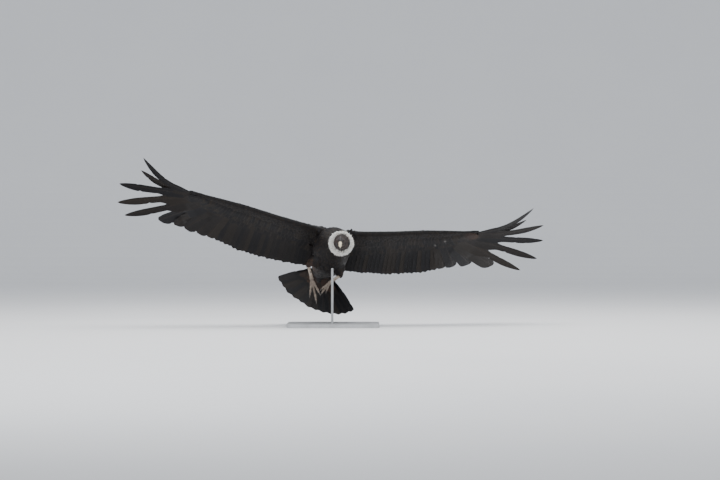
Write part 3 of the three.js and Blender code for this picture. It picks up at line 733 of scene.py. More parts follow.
def silver(strength):
    """Pale outer web on the upper face, fading to the dark inner web and tip."""
    def shade(vane, upper_face):
        across = smooth(0.42, 0.54, vane[:, 0])
        along = smooth(0.1, 0.22, vane[:, 1]) * (1 - smooth(0.88, 0.97, vane[:, 1]))
        return strength * across * along * upper_face
    return shade


def speck(strength):
    """Small worn spot near the tip on the lower face."""
    def shade(vane, upper_face):
        spot = np.exp(-((vane[:, 0] - 0.5) / 0.16) ** 2 - ((vane[:, 1] - 0.8) / 0.1) ** 2)
        return strength * spot * ~upper_face
    return shade


def remiges(sign):
    """Secondaries and primaries of one wing."""
    quills = Quills()
    for i in range(SECONDARIES):
        share = i / (SECONDARIES - 1)
        span = 128 + share * 597
        root = (span, column(WING_RINGS, span, 1) + 0.74 * column(CORE_RINGS, span, 1))
        tip_span = span + mix(4, 66, share ** 2)
        tip = (tip_span, column(WING_RINGS, tip_span, 3) + 6 * rng.uniform(-1, 1))
        wing_feather(quills, sign, root, tip, {
            "width": lambda s: np.full(len(s), SECONDARY_WIDTH), "root": 0.4, "thick": 1.8,
            "outer": 0.42, "steps": 20, "pale": silver(0.85 * float(smooth(0.02, 0.2, share))),
        })
    for i, tip in enumerate(PRIMARY_TIPS[sign]):
        share = i / 9
        span = mix(742, 1012, share)
        root = (span, column(WING_RINGS, span, 1) + 0.66 * column(CORE_RINGS, span, 1))
        base = PRIMARY_WIDTHS[sign][i]
        finger = i >= FIRST_FINGER[sign]

        def width(s, base=base, finger=finger):
            blade = mix(base, FINGER_WIDTH, smooth(0.39, 0.53, s)) if finger else base + 0 * s
            return blade * mix(1, 0.5, smooth(0.74, 1, s) * finger)

        wing_feather(quills, sign, root, tip[:2], {
            "width": width, "root": 0.45, "thick": 3.0, "outer": 0.36, "steps": 38,
            "curl": tip[2] - float(wing_height(sign, tip[0], tip[1])), "bow": PRIMARY_BOWS[sign][i],
            "pale": silver(0.6 * float(1 - smooth(0, 0.5, share))), "cup": 0.035,
        })
    return quills


# Covert rows: from, to, count, root depth, length, width, root rise, lift.
COVERT_ROWS = [
    (132, 990, 34, 0.8, 126, 50, 0.12, 5.6),
    (132, 968, 36, 0.62, 112, 44, 0.2, 9.4),
    (132, 945, 38, 0.44, 98, 40, 0.3, 13),
    (132, 990, 34, 0.8, 120, 50, -0.12, -5.6),
    (132, 968, 36, 0.6, 108, 44, -0.16, -9.2),
    (132, 945, 38, 0.42, 96, 40, -0.2, -12.6),
]


def coverts(sign):
    """Greater, median and lesser rows on both faces of one wing."""
    quills = Quills()
    for start, end, count, root_depth, length, width, root_rise, lift in COVERT_ROWS:
        for i in range(count):
            span = mix(start, end, i / (count - 1)) + rng.uniform(-3, 3)
            splay = float(np.clip((span - 560) / 420, 0, 1))
            reach = length * (1 - 0.25 * splay) * rng.uniform(0.92, 1.08)
            root = (span, column(WING_RINGS, span, 1) + root_depth * column(CORE_RINGS, span, 1))
            turn = math.radians(mix(6, 46, splay) + rng.uniform(-3, 3))
            tip = (span + reach * math.sin(turn), root[1] + reach * math.cos(turn))
            top = lift > 0
            pale = silver(0.85 * (1 - splay)) if top and root_depth > 0.7 else 0.0
            worn = sign > 0 and not top and abs(span - 745) < 75 and rng.random() < 0.22
            fleck = speck(0.24) if worn else 0.0
            wing_feather(quills, sign, root, tip, {
                "width": lambda s, w=width: np.full(len(s), w), "root": 0.5, "thick": 1.3,
                "outer": 0.5, "steps": 10, "root_lift": root_rise * column(CORE_RINGS, span, 2),
                "lift": lift, "cup": 0.02 if top else -0.015,
                "pale": pale or fleck,
                "rust": 0.4 * float(smooth(880, 960, span)) * rng.random() * (sign > 0) * (not top),
            })
    return quills


# Covert rows of the tail: lift, count, length, width. One half of the fan lies a little under the other.
TAIL_COVERT_ROWS = [
    (8, 9, 270, 44), (13, 8, 215, 40), (-9, 10, 285, 42), (-14, 9, 235, 40), (-19, 8, 190, 36),
]
HALF_DROP = 3.2


def tail_feather(quills, angle, reach, width, lift, form):
    """One feather of the tail fan at an angle from its middle."""
    aim, across, up = TAIL_VECTORS
    turn = math.radians(angle)
    way = aim * math.cos(turn) + across * math.sin(turn)
    steps = form["steps"]
    share = np.linspace(0, 1, steps)
    start = form["start"]
    spine = (np.array(TAIL_PIVOT) + way * mix(start, reach, share)[:, None]
             + up * (lift * np.clip(share * 3, 0, 1) - 5 * share ** 2)[:, None])
    half = width * 0.5 * mix(0.5, 1, smooth(0, 0.6, share))
    shape = vane_width(share, 0.6, form["round_from"], 0.5, 2)
    bake = window("tail", 0.5 + angle / 100, 0.5 + lift / 60)
    quills.add(spine, up, half * shape, half * shape, 2.4 * (1 - 0.6 * share),
               across * (1 if angle > 0 else -1), bake, cup=0.03, rust=form.get("rust", 0.0))


def tail_feathers():
    """The tail's own feathers and the coverts over and under their roots."""
    quills = Quills()
    step = 2 * TAIL_HALF_SPREAD / (TAIL_FEATHERS - 1)
    for i in range(TAIL_FEATHERS):
        angle = -TAIL_HALF_SPREAD + i * step
        reach = TAIL_LENGTH * (1 - 0.07 * (angle / TAIL_HALF_SPREAD) ** 2) + rng.uniform(-5, 5)
        tail_feather(quills, angle, reach, TAIL_WIDTH, -HALF_DROP if angle > 0 else 0,
                     {"steps": 24, "start": 92, "round_from": 0.9})
    for lift, count, length, width in TAIL_COVERT_ROWS:
        for i in range(count):
            angle = mix(-41, 38, i / (count - 1)) + rng.uniform(-1.5, 1.5)
            reach = length * rng.uniform(0.95, 1.05) - 0.5 * abs(angle)
            rust = 0.45 * (lift < -12) * rng.random()
            tail_feather(quills, angle, reach, width, lift - (HALF_DROP if angle > 0 else 0),
                         {"steps": 10, "start": 84, "round_from": 0.75, "rust": rust})
    return quills


# Coat of small feathers, scattered by a node tree


def leaf_template(name, rows=6, bend=0.1, round_from=0.62, fray=0.05):
    """Small feather, one unit long along Y: a closed, thin, arched blade with a frayed round tip."""
    share = np.linspace(0, 1, rows) ** 0.85
    tip = np.clip((share - round_from) / (1 - round_from), 0, 1)
    half = 0.5 * mix(0.35, 1, smooth(0, 0.4, share)) * np.sqrt(np.maximum(1 - tip ** 2.4, 0.03))
    lift = bend * (share - share ** 2) * 1.6
    # Place across, rise, sag and fray of each point round the blade.
    corners = [(-1, 0, -0.16, -1.6), (-0.42, 0.022, -0.04, 0.4), (0.42, 0.022, -0.04, 1),
               (1, 0, -0.16, -0.7), (0.42, -0.02, -0.04, 1), (-0.42, -0.02, -0.04, 0.4)]
    ring = np.stack([
        np.stack([half * c, share + jag * fray * tip, lift + rise * (1 - 0.7 * share) + sag * half], -1)
        for c, rise, sag, jag in corners
    ], 1)
    ends = np.array([[0, 1, 2, 3], [0, 3, 4, 5]])
    faces = np.concatenate([ring_faces(rows, 6)[:, ::-1], ends, ends[:, ::-1] + (rows - 1) * 6])
    across = np.tile([(c + 1) / 2 for c, _, _, _ in corners], rows)
    return make_mesh(name, ring.reshape(-1, 3), faces, {"vane": np.stack([across, np.repeat(share, 6)], -1)},
                     sharp=RIM_ANGLE)


class Nodes:
    """Adds nodes to one tree and feeds their sockets."""

    def __init__(self, tree):
        self.tree = tree

    def feed(self, socket, source):
        """Sets a socket from another socket, a colour or a plain value."""
        if isinstance(source, bpy.types.NodeSocket):
            self.tree.links.new(source, socket)
        elif isinstance(source, tuple) and socket.type == "RGBA":
            socket.default_value = (*source, 1)
        else:
            socket.default_value = source

    def add(self, kind, inputs=None, **settings):
        """A node with its settings, and its inputs by name or number."""
        node = self.tree.nodes.new(kind)
        for key, value in settings.items():
            setattr(node, key, value)
        for key, source in (inputs or {}).items():
            self.feed(node.inputs[key], source)
        return node

    def maths(self, operation, *sources):
        node = self.add("ShaderNodeMath", dict(enumerate(sources)), operation=operation)
        return node.outputs[0]


def group_tree(kind, name, inputs, outputs):
    """Node group with named sockets: its helper, what it is given and what it puts out."""
    tree = bpy.data.node_groups.new(name, kind)
    for way, sockets in (("INPUT", inputs), ("OUTPUT", outputs)):
        for label, content in sockets.items():
            tree.interface.new_socket(label, in_out=way, socket_type=f"NodeSocket{content}")
    nodes = Nodes(tree)
    return nodes, nodes.add("NodeGroupInput").outputs, nodes.add("NodeGroupOutput").inputs


def coat_tree():
    """Node tree that sets a leaf on every guide point, turned and sized by the point's own values."""
    nodes, given, result = group_tree(
        "GeometryNodeTree", "coat of small feathers",
        {"Geometry": "Geometry", "Leaf": "Object", "Size Scatter": "Float", "Seed": "Int",
         "Patch Size": "Float", "Material": "Material"},
        {"Geometry": "Geometry"})

    def named(label):
        node = nodes.add("GeometryNodeInputNamedAttribute", {"Name": label}, data_type="FLOAT_VECTOR")
        return node.outputs["Attribute"]

    guides = nodes.add("GeometryNodeMeshToPoints", {"Mesh": given["Geometry"]})
    leaf = nodes.add("GeometryNodeObjectInfo", {"Object": given["Leaf"]})
    turn = nodes.add("FunctionNodeEulerToRotation", {"Euler": named("turn")})
    scatter = nodes.add("FunctionNodeRandomValue", {"Seed": given["Seed"]}, data_type="FLOAT")
    limits = {socket.name: socket for socket in scatter.inputs if socket.type == "VALUE"}
    nodes.feed(limits["Min"], nodes.maths("SUBTRACT", 1.0, given["Size Scatter"]))
    nodes.feed(limits["Max"], nodes.maths("ADD", 1.0, given["Size Scatter"]))
    share = [socket for socket in scatter.outputs if socket.type == "VALUE"][0]
    size = nodes.add("ShaderNodeVectorMath", {0: named("size"), "Scale": share}, operation="SCALE")
    leaves = nodes.add("GeometryNodeInstanceOnPoints", {
        "Points": guides.outputs["Points"], "Instance": leaf.outputs["Geometry"],
        "Rotation": turn.outputs["Rotation"], "Scale": size.outputs["Vector"]})
    solid = nodes.add("GeometryNodeRealizeInstances", {"Geometry": leaves.outputs["Instances"]})
    patch = nodes.add("ShaderNodeVectorMath", {0: named("vane"), "Scale": given["Patch Size"]}, operation="SCALE")
    spot = nodes.add("ShaderNodeVectorMath", {0: patch.outputs["Vector"], 1: named("bake_root")}, operation="ADD")
    mapped = nodes.add("GeometryNodeStoreNamedAttribute", data_type="FLOAT2", domain="CORNER")
    for key, source in (("Geometry", solid.outputs["Geometry"]), ("Name", "OFBake"),
                        ("Value", spot.outputs["Vector"])):
        nodes.feed(mapped.inputs[key], source)
    painted = nodes.add("GeometryNodeSetMaterial", {
        "Geometry": mapped.outputs["Geometry"], "Material": given["Material"]})
    nodes.feed(result["Geometry"], painted.outputs["Geometry"])
    return nodes.tree


def grow_coat(name, tree, leaf, guides, material, seed, scatter=0.18):
    """Piece of small feathers on guide points: places, rotations, sizes, map roots and values."""
    if not len(guides["place"]):
        raise RuntimeError(f"{name} has no guides")
    mesh = bpy.data.meshes.new(name + "_guides")
    mesh.from_pydata([tuple(p) for p in guides["place"]], [], [])
    holder = linked(bpy.data.objects.new(name + "_guides", mesh))
    for label in ("turn", "size", "bake_root"):
        layer = mesh.attributes.new(label, "FLOAT_VECTOR", "POINT")
        layer.data.foreach_set("vector", np.asarray(guides[label], np.float32).ravel())
    for label in ("tint", "pale", "rust"):
        mark(holder, label, guides[label])
    modifier = holder.modifiers.new("coat", "NODES")
    modifier.node_group = tree
    values = {"Leaf": leaf, "Size Scatter": scatter, "Seed": seed, "Patch Size": PATCH, "Material": material}
    for item in tree.interface.items_tree:
        if item.in_out == "INPUT" and item.name in values:
            modifier[item.identifier] = values[item.name]
    piece = rounded(baked(holder, name))
    bpy.data.objects.remove(holder)
    return piece


def turns(way, normal, pitch):
    """Euler turns that point a leaf's length along the way, raised from the surface by a pitch."""
    side = unit(np.cross(way, normal))
    flat = unit(np.cross(normal, side))
    pitch = np.asarray(pitch)[:, None]
    ahead = flat * np.cos(pitch) + normal * np.sin(pitch)
    top = unit(np.cross(side, ahead))
    result = np.empty((len(way), 3))
    for i in range(len(way)):
        rotation = Matrix((side[i], ahead[i], top[i])).transposed()
        result[i] = rotation.to_euler()
    return result


NEIGHBOURS = [(x, y, z) for x in (-1, 0, 1) for y in (-1, 0, 1) for z in (-1, 0, 1)]


def even_points(piece, spacing_at, wanted, tries=9):
    """Points spread over a mesh with at least the wanted spacing, with normals, in random order."""
    mesh = piece.data
    mesh.calc_loop_triangles()
    corners = np.empty(len(mesh.loop_triangles) * 3, np.int32)
    mesh.loop_triangles.foreach_get("vertices", corners)
    corners = corners.reshape(-1, 3)
    points = points_of(piece)
    normals = normals_of(piece)
    a, b, c = (points[corners[:, k]] for k in range(3))
    area = 0.5 * np.linalg.norm(np.cross(b - a, c - a), axis=1)
    centre = (a + b + c) / 3
    spacing = spacing_at(centre)
    weight = area / np.maximum(spacing, 1e-4) ** 2 * wanted(centre)
    total = int(weight.sum() * tries)
    pick = rng.choice(len(corners), total, p=weight / weight.sum())
    u, v = rng.random(total), rng.random(total)
    fold = u + v > 1
    u[fold], v[fold] = 1 - u[fold], 1 - v[fold]
    shares = np.stack([1 - u - v, u, v])[..., None]
    place = a[pick] * shares[0] + b[pick] * shares[1] + c[pick] * shares[2]
    n0, n1, n2 = (normals[corners[pick, k]] for k in range(3))
    normal = unit(n0 * shares[0] + n1 * shares[1] + n2 * shares[2])
    gap = spacing[pick]
    keys = np.floor(place / float(gap.max())).astype(int)
    grid = {}
    keep = []

    def crowded(i, x, y, z):
        for dx, dy, dz in NEIGHBOURS:
            for other in grid.get((x + dx, y + dy, z + dz), ()):
                d = place[other] - place[i]
                if d[0] * d[0] + d[1] * d[1] + d[2] * d[2] < gap[i] ** 2:
                    return True
        return False

    for i in range(total):
        key = tuple(keys[i])
        if not crowded(i, *key):
            keep.append(i)
            grid.setdefault(key, []).append(i)
    return place[keep], normal[keep]


def region(local):
    """Shares of each place on the body: wing, thigh, collar and bare."""
    span = np.abs(local[:, 0])
    reach = (local - np.array(RUFF_PLACE)) @ neck_aim
    off_axis = np.linalg.norm(local - np.array(RUFF_PLACE) - reach[:, None] * neck_aim, axis=1)
    lead = column(WING_RINGS, span, 1)
    left, right = (wing_height(sign, span, local[:, 1]) for sign in (1, -1))
    height = np.where(local[:, 0] > 0, left, right)
    wing = smooth(112, 150, span) * (np.abs(local[:, 2] - height) < 46) * (local[:, 1] < lead + 230)
    leg = np.zeros(len(local))
    for sign in (1, -1):
        points = leg_points(sign)
        line = points["ankle"] - points["hip"]
        share = np.clip((local - points["hip"]) @ line / (line @ line), 0, 1.1)
        gap = np.linalg.norm(local - points["hip"] - share[:, None] * line, axis=1)
        leg = np.maximum(leg, (share > 0.45) * (gap < mix(48, 24, share)))
    from_middle = local - collar_point(reach)
    around = np.arctan2(from_middle @ collar_up, from_middle @ collar_across)
    throat = np.abs((around - THROAT_GAP[0] + np.pi) % FULL_TURN - np.pi) < THROAT_GAP[1]
    near = off_axis < COLLAR_LIMIT
    collar = near * (reach > -30) * (reach < 40)
    bare = near & ((reach > BARE_FROM) | ((reach > 4) & throat))
    return {"wing": wing, "leg": leg * (1 - wing), "collar": collar, "bare": bare, "reach": reach,
            "off": off_axis}


def body_coat_guides(skin):
    """Guide values of every small feather on body, thighs and wing cores."""
    def fineness(local, area):
        """Share of the full feather size: small by the collar, on the thighs and along the wing's front."""
        span = np.abs(local[:, 0])
        near = (1 - smooth(64, 190, area["off"])) * (1 - area["wing"]) * (local[:, 1] < 0)
        behind_edge = smooth(8, 90, local[:, 1] - column(WING_RINGS, span, 1))
        on_wing = mix(0.55, 0.95, behind_edge) * mix(1, 0.76, smooth(700, 1000, span))
        on_body = 1 - 0.42 * near - 0.2 * area["leg"] + 0.12 * smooth(40, 200, local[:, 1])
        return mix(on_body, on_wing, area["wing"])

    def spacing(points):
        local = to_body(points)
        return COAT_SPACING * fineness(local, region(local)) * MM

    def wanted(points):
        local = to_body(points)
        area = region(local)
        span = np.abs(local[:, 0])
        depth = (local[:, 1] - column(WING_RINGS, span, 1)) / column(CORE_RINGS, span, 1)
        under_coverts = area["wing"] * (depth > 0.8) * (span > 150)
        return (1 - area["bare"]) * (1 - area["collar"] * (area["reach"] > -12)) * (1 - under_coverts)

    place, normal = even_points(skin, spacing, wanted)
    local = to_body(place)
    area = region(local)
    fine = fineness(local, area)
    sign = np.sign(local[:, 0])
    wing = area["wing"]
    span = np.abs(local[:, 0])
    rotation = BODY[:3, :3]
    normal_here = normal @ rotation
    front = np.clip(-normal_here[:, 1], 0, 1)
    rise = np.where(normal_here[:, 2] > 0.1, 1.0, -1.0) * front * 0.7
    splay = np.radians(mix(6, 40, smooth(560, 980, span)))
    wing_way = np.stack([sign * (np.sin(splay) + 1.3 * front ** 2), np.cos(splay), rise], -1)
    away = unit(local - np.array(RUFF_PLACE) - area["reach"][:, None] * neck_aim)
    near = (1 - smooth(60, 150, area["off"])) * (local[:, 1] < -120)
    body_way = np.stack([-0.06 * local[:, 0] / 100, np.ones(len(local)), -0.0005 * local[:, 2]], -1)
    body_way = unit(body_way) * (1 - near[:, None]) + unit(away - neck_aim * 0.6) * near[:, None]
    way = body_way * (1 - wing[:, None]) + wing_way * wing[:, None]
    for side in (1, -1):
        points = leg_points(side)
        mine = (area["leg"] > 0.5) & (sign == side)
        way[mine] = unit(points["ankle"] - points["hip"]) * 0.8 + np.array([0, 0.6, -0.2])
    way = unit(way + rng.normal(0, 0.06, way.shape))
    way_world = way @ rotation.T
    way_world = unit(way_world - normal * (way_world * normal).sum(1, keepdims=True))
    pitch = rng.normal(0.09, 0.03, len(way)) - 0.15 * wing * front
    length = COAT_LENGTH * fine * rng.uniform(0.88, 1.14, len(way)) * (1 - 0.32 * wing * front)
    width = length * 0.6
    top = normal_here[:, 2] > 0
    bake = np.zeros((len(local), 3))
    bake[:, :2] = map_places(local, area, top)
    # Rusty spot by the root of the tail on the right, and a touch of it on the thighs.
    from_spot = ((local[:, 0] + 112) / 34) ** 2 + ((local[:, 1] - 92) / 44) ** 2
    rust = 0.6 * np.exp(-from_spot) * (local[:, 2] < -70)
    rust = np.maximum(rust, 0.3 * area["leg"] * rng.random(len(way)))
    return {
        "place": place - normal * ROOT_DEPTH * MM,
        "turn": turns(way_world, normal, pitch),
        "size": np.stack([width, length, length * 0.9], -1) * MM,
        "bake_root": bake,
        "tint": rng.random(len(way)),
        "pale": np.zeros(len(way)),
        "rust": rust,
        "wing": wing,
        "side": sign,
        "top": top,
        "rear": local[:, 1],
    }


def chosen(guides, mask):
    """The guides of one piece."""
    return {key: value[mask] for key, value in guides.items()}


def map_places(local, area, top):
    """Places on the bake map for points of the body, wings and thighs."""
    span = np.abs(local[:, 0])
    side_of = np.sign(local[:, 0])
    angle = np.arctan2(local[:, 2] + 62, local[:, 0]) / FULL_TURN + 0.5
    place = window("torso", angle, (local[:, 1] + 250) / 500)
    for side in (1, -1):
        for face, faces_up in (("upper", top), ("lower", ~top)):
            mine = (area["wing"] > 0.5) & (side_of == side) & faces_up
            place[mine] = wing_window(face, side, span[mine], local[mine, 1])
        mine = (area["leg"] > 0.5) & (side_of == side)
        place[mine] = window(f"thigh_{side}", (local[mine, 1] + 60) / 160, (local[mine, 2] + 200) / 120)
    across = local - np.array(RUFF_PLACE)
    around = np.arctan2(across @ collar_up, across @ collar_across) % FULL_TURN / FULL_TURN
    for part, share, start, length in (("collar", "collar", -36, 70), ("head", "bare", 30, 230)):
        mine = area[share] > 0.5
        place[mine] = window(part, around[mine], (area["reach"][mine] - start) / length)
    return place


def ruff_guides(start, end, count=TUFTS_A_PIECE):
    """Guides of the collar's down: curled tufts that stand off its cushion, outward behind, forward before."""
    turn = THROAT_GAP[0] + rng.uniform(THROAT_GAP[1], FULL_TURN - THROAT_GAP[1], count)
    along = rng.uniform(start, end, count)
    outward = np.cos(turn)[:, None] * collar_across + np.sin(turn)[:, None] * collar_up
    radius = np.interp(along, *np.array(COLLAR).T) - rng.uniform(1, 5, count)
    local = collar_point(along) + outward * radius[:, None]
    around = np.cross(outward, neck_aim) * rng.choice([-1, 1], count)[:, None]
    lean = np.radians(mix(-8, 62, smooth(-14, 26, along)))[:, None]
    way = outward * np.cos(lean) + neck_aim * np.sin(lean) + around * 0.35
    way = unit(way + rng.normal(0, 0.2, (count, 3)))
    normal = unit(neck_aim * np.cos(lean) - outward * np.sin(lean) + rng.normal(0, 0.5, (count, 3)))
    rotation = BODY[:3, :3]
    size = DOWN_LENGTH * rng.uniform(0.6, 1.2, count)
    bake = np.zeros((count, 3))
    bake[:, :2] = window("collar", turn % FULL_TURN / FULL_TURN, (along + 36) / 70)
    return {
        "place": to_world(local),
        "turn": turns(way @ rotation.T, normal @ rotation.T, np.full(count, 0.05)),
        "size": np.stack([size * 0.3, size, size * 0.9], -1) * MM,
        "bake_root": bake,
        "tint": rng.random(count),
        "pale": np.ones(count),
        "rust": np.zeros(count),
    }


# Head pieces


# Upper bill: reach, half width, rise, depth. Lower bill: reach, half width, top and underside.
BILL_RINGS = [
    (BILL_START, 14.6, 16.5, 5.6), (62, 13.6, 16, 6), (74, 12.2, 16.8, 6.6), (82, 11.2, 16.2, 7),
    (88, 10, 13.8, 7), (94, 8, 9.6, 6.6), (99, 4.6, 3.6, 5),
]
HOOK_PATH = [(0, -86, 2), (0, -94, -1), (0, -99, -8), (0, -100, -16), (0, -97, -24)]
HOOK_RADII = [8.8, 8.2, 6.4, 4.2, 1.2]
JAW_RINGS = [
    (BILL_START, 12.6, -4, -17.4), (60, 12.2, -4.2, -17.8), (70, 11.2, -4.8, -18.2), (80, 9.6, -5.2, -18.4),
    (86, 7.4, -6, -17.8), (89, 5, -8, -16.8), (90.5, 2.4, -10.4, -15),
]
# Where the dark cere ends on the upper and the lower bill.
CERE_END = (71, 66)


def build_bill():
    """Upper bill with nostrils, cere and hook, and the lower bill."""
    upper = fuse([closed_tube(head_rings(BILL_RINGS), "bill_shell", HEAD),
                  closed_tube(tube_rings(HOOK_PATH, HOOK_RADII, 20), "hook", HEAD)],
                 "bill_upper_horn", BILL_GRID, 3)
    local = to_head(points_of(upper))
    x, y, z = local.T
    nostril = np.sqrt(((y + 61) / 5.4) ** 2 + ((z - 5) / 2.6) ** 2)
    push = -6.5 * (1 - smooth(0.5, 1.0, nostril)) * (np.abs(x) > 3)
    push -= 0.7 * (1 - smooth(0.2, 1.6, np.abs(-y - CERE_END[0] - 0.12 * z)))
    push += 0.5 * smooth(CERE_END[0], CERE_END[0] - 5, -y) + 0.14 * rough(local * np.array([1, 0.3, 1]), 0.5, 3)
    swell(upper, push)

    turn = angles(36)
    across = np.sign(np.cos(turn)) * np.abs(np.cos(turn)) ** 0.8
    rings = []
    for reach in np.linspace(BILL_START, JAW_RINGS[-1][0], 30):
        half, top, low = row_at(JAW_RINGS, reach)
        rings.append(np.stack([half * across, np.full(36, -reach),
                               (top + low) / 2 + (top - low) / 2 * np.sin(turn)], -1))
    lower = fuse([closed_tube(rings, "jaw_shell", HEAD)], "bill_lower_horn", BILL_GRID, 2)
    return upper, lower


# Lobes of the comb: reach, top, radius, half width. Its blade: reach, half width, rise, depth.
COMB_LOBES = [(-4, 37, 13, 7.5), (12, 44, 17, 8.5), (30, 46, 18, 9), (46, 40, 16, 8), (60, 29, 12, 6.5)]
COMB_BLADE = [(-16, 4, 31, 4), (8, 7.5, 40, 4), (34, 7.5, 39, 4), (60, 5.5, 24, 4), (68, 3, 18, 4)]
# Bulbs of the wattle: reach, height, radius.
WATTLE_BULBS = [(30, -30, 9), (18, -35, 11), (4, -38, 12), (-10, -38, 11), (-24, -36, 10)]


def build_comb():
    """Fleshy comb of five lobes on a blade."""
    shells = [closed_tube(ball_rings(size, (0, -reach, top - size * 0.75), (half / size, 1.1, 0.98)),
                          "lobe", HEAD) for reach, top, size, half in COMB_LOBES]
    shells.append(closed_tube(head_rings(COMB_BLADE, 24), "blade", HEAD))
    comb = fuse(shells, "comb_flesh", COMB_GRID, 3)
    local = to_head(points_of(comb))
    lumps = rough(local, 0.13, 3)
    folds = np.abs(np.sin(local[:, 1] * 0.33 + 1.6 * lumps)) ** 0.5
    swell(comb, 0.9 * lumps + 0.9 * (folds - 0.75) * smooth(22, 34, local[:, 2]) + 0.25 * rough(local, 0.6, 3))
    return comb


def build_wattle():
    """Row of soft bulbs under the throat."""
    shells = [closed_tube(ball_rings(size, (0, -reach, z), (0.5, 1.3, 1.05)), "bulb", HEAD)
              for reach, z, size in WATTLE_BULBS]
    wattle = fuse(shells, "wattle_flesh", WATTLE_GRID, 3)
    local = to_head(points_of(wattle))
    swell(wattle, 0.8 * rough(local, 0.16, 3) + 0.3 * rough(local, 0.6, 3))
    return wattle


def build_eye(sign, steps=40, sides=40):
    """Eyeball with its own map: v runs from the middle of the pupil to the back."""
    polar = np.linspace(0, np.pi, steps)
    turn = angles(sides)
    outward = unit(np.array([sign * 1.0, -0.28, 0.0]))
    up = np.array([0, 0, 1.0])
    across = np.cross(up, outward)
    bulge = 1 + 0.05 * np.exp(-(polar / 0.55) ** 2)
    rim = np.cos(turn)[None, :, None] * across + np.sin(turn)[None, :, None] * up
    ball = np.cos(polar)[:, None, None] * outward + np.sin(polar)[:, None, None] * rim
    points = ball * (EYE_RADIUS * bulge)[:, None, None] + np.array(EYE_PLACE) * (sign, 1, 1)
    uv = np.stack(np.broadcast_arrays(turn[None] / FULL_TURN, polar[:, None] / np.pi), -1)
    eye = make_mesh(f"eye_{SIDES[sign]}_ball", to_world(points.reshape(-1, 3), HEAD), ring_faces(steps, sides),
                    {"iris": uv.reshape(-1, 2)})
    return mended(eye)


# Legs


def toe_path(leg, toe):
    """The way a toe points, and the places of its knuckles."""
    _, turn, share, droop = toe
    way = unit(leg["aim"] * math.cos(math.radians(turn)) + leg["across"] * math.sin(math.radians(turn))
               + leg["up"] * droop)
    knuckles = [leg["foot"] + way * leg["length"] * share * along + leg["up"] * rise * share
                for along, rise in ((0, 0), (0.3, 4), (0.55, 1.5), (0.78, 3), (1, -2))]
    return way, knuckles


def build_leg(sign):
    """Shaft, pad and toes as one piece, banded with scutes."""
    leg = leg_points(sign)
    shaft = [mix(leg["ankle"], leg["foot"], s) for s in (-0.1, 0.06, 0.2, 0.5, 0.8, 0.95, 1.02)]
    shells = [closed_tube(tube_rings(shaft, [8, 12.6, 11.6, 11, 11.2, 12.4, 11]), "shaft"),
              closed_tube(ball_rings(14, leg["foot"], (1.05, 1, 0.9)), "pad")]
    for toe in TOES:
        _, knuckles = toe_path(leg, toe)
        radii = [TOE_RADIUS * 1.2, TOE_RADIUS * 1.2, TOE_RADIUS, TOE_RADIUS * 1.05, 5.4]
        fine = tube_rings(knuckles, radii, 18, 10)
        centre = fine.mean(1, keepdims=True)
        at = np.linspace(0, 4, len(fine))
        joints = 1 + 0.13 * np.cos(at * FULL_TURN)
        shells.append(closed_tube(centre + (fine - centre) * joints[:, None, None], "toe"))
    piece = fuse(shells, f"leg_{SIDES[sign]}_scales", LEG_GRID, 2)
    local = to_body(points_of(piece))
    axis = unit(leg["foot"] - leg["ankle"])
    along = (local - leg["ankle"]) @ axis
    reach = np.linalg.norm(leg["foot"] - leg["ankle"])
    toe_along = (local - leg["foot"]) @ leg["aim"]
    bands = np.where(along < reach - 6, along / 6.4, toe_along / 5.2)
    wave = np.abs(np.sin(bands * np.pi)) ** 0.35
    swell(piece, 0.55 * (wave - 0.85) + 0.22 * rough(local, 0.3, 3))
    dusk = smooth(0.55, 1.1, along / reach) * 0.75 + 0.25 * smooth(-0.4, 0.6, rough(local, 0.05, 2))
    mark(piece, "dusk", np.clip(dusk, 0, 0.9))
    return piece


def build_claw(sign, toe):
    """Curved claw at the end of a toe."""
    leg = leg_points(sign)
    way, knuckles = toe_path(leg, toe)
    tip = knuckles[-1]
    size = CLAW_LENGTH * (0.6 + 0.4 * toe[2])
    path = [tip + way * (0.9 + size * share) - leg["up"] * size * drop
            for share, drop in ((-0.12, 0), (0.1, 0), (0.35, 0.03), (0.7, 0.18), (1, 0.42))]
    rings = tube_rings(path, [3.6, 4.2, 3.6, 2.3, 0.5], 16, 6)
    claw = closed_tube(rings, f"claw_{SIDES[sign]}_{toe[0]}_horn")
    return mended(claw)


# Materials


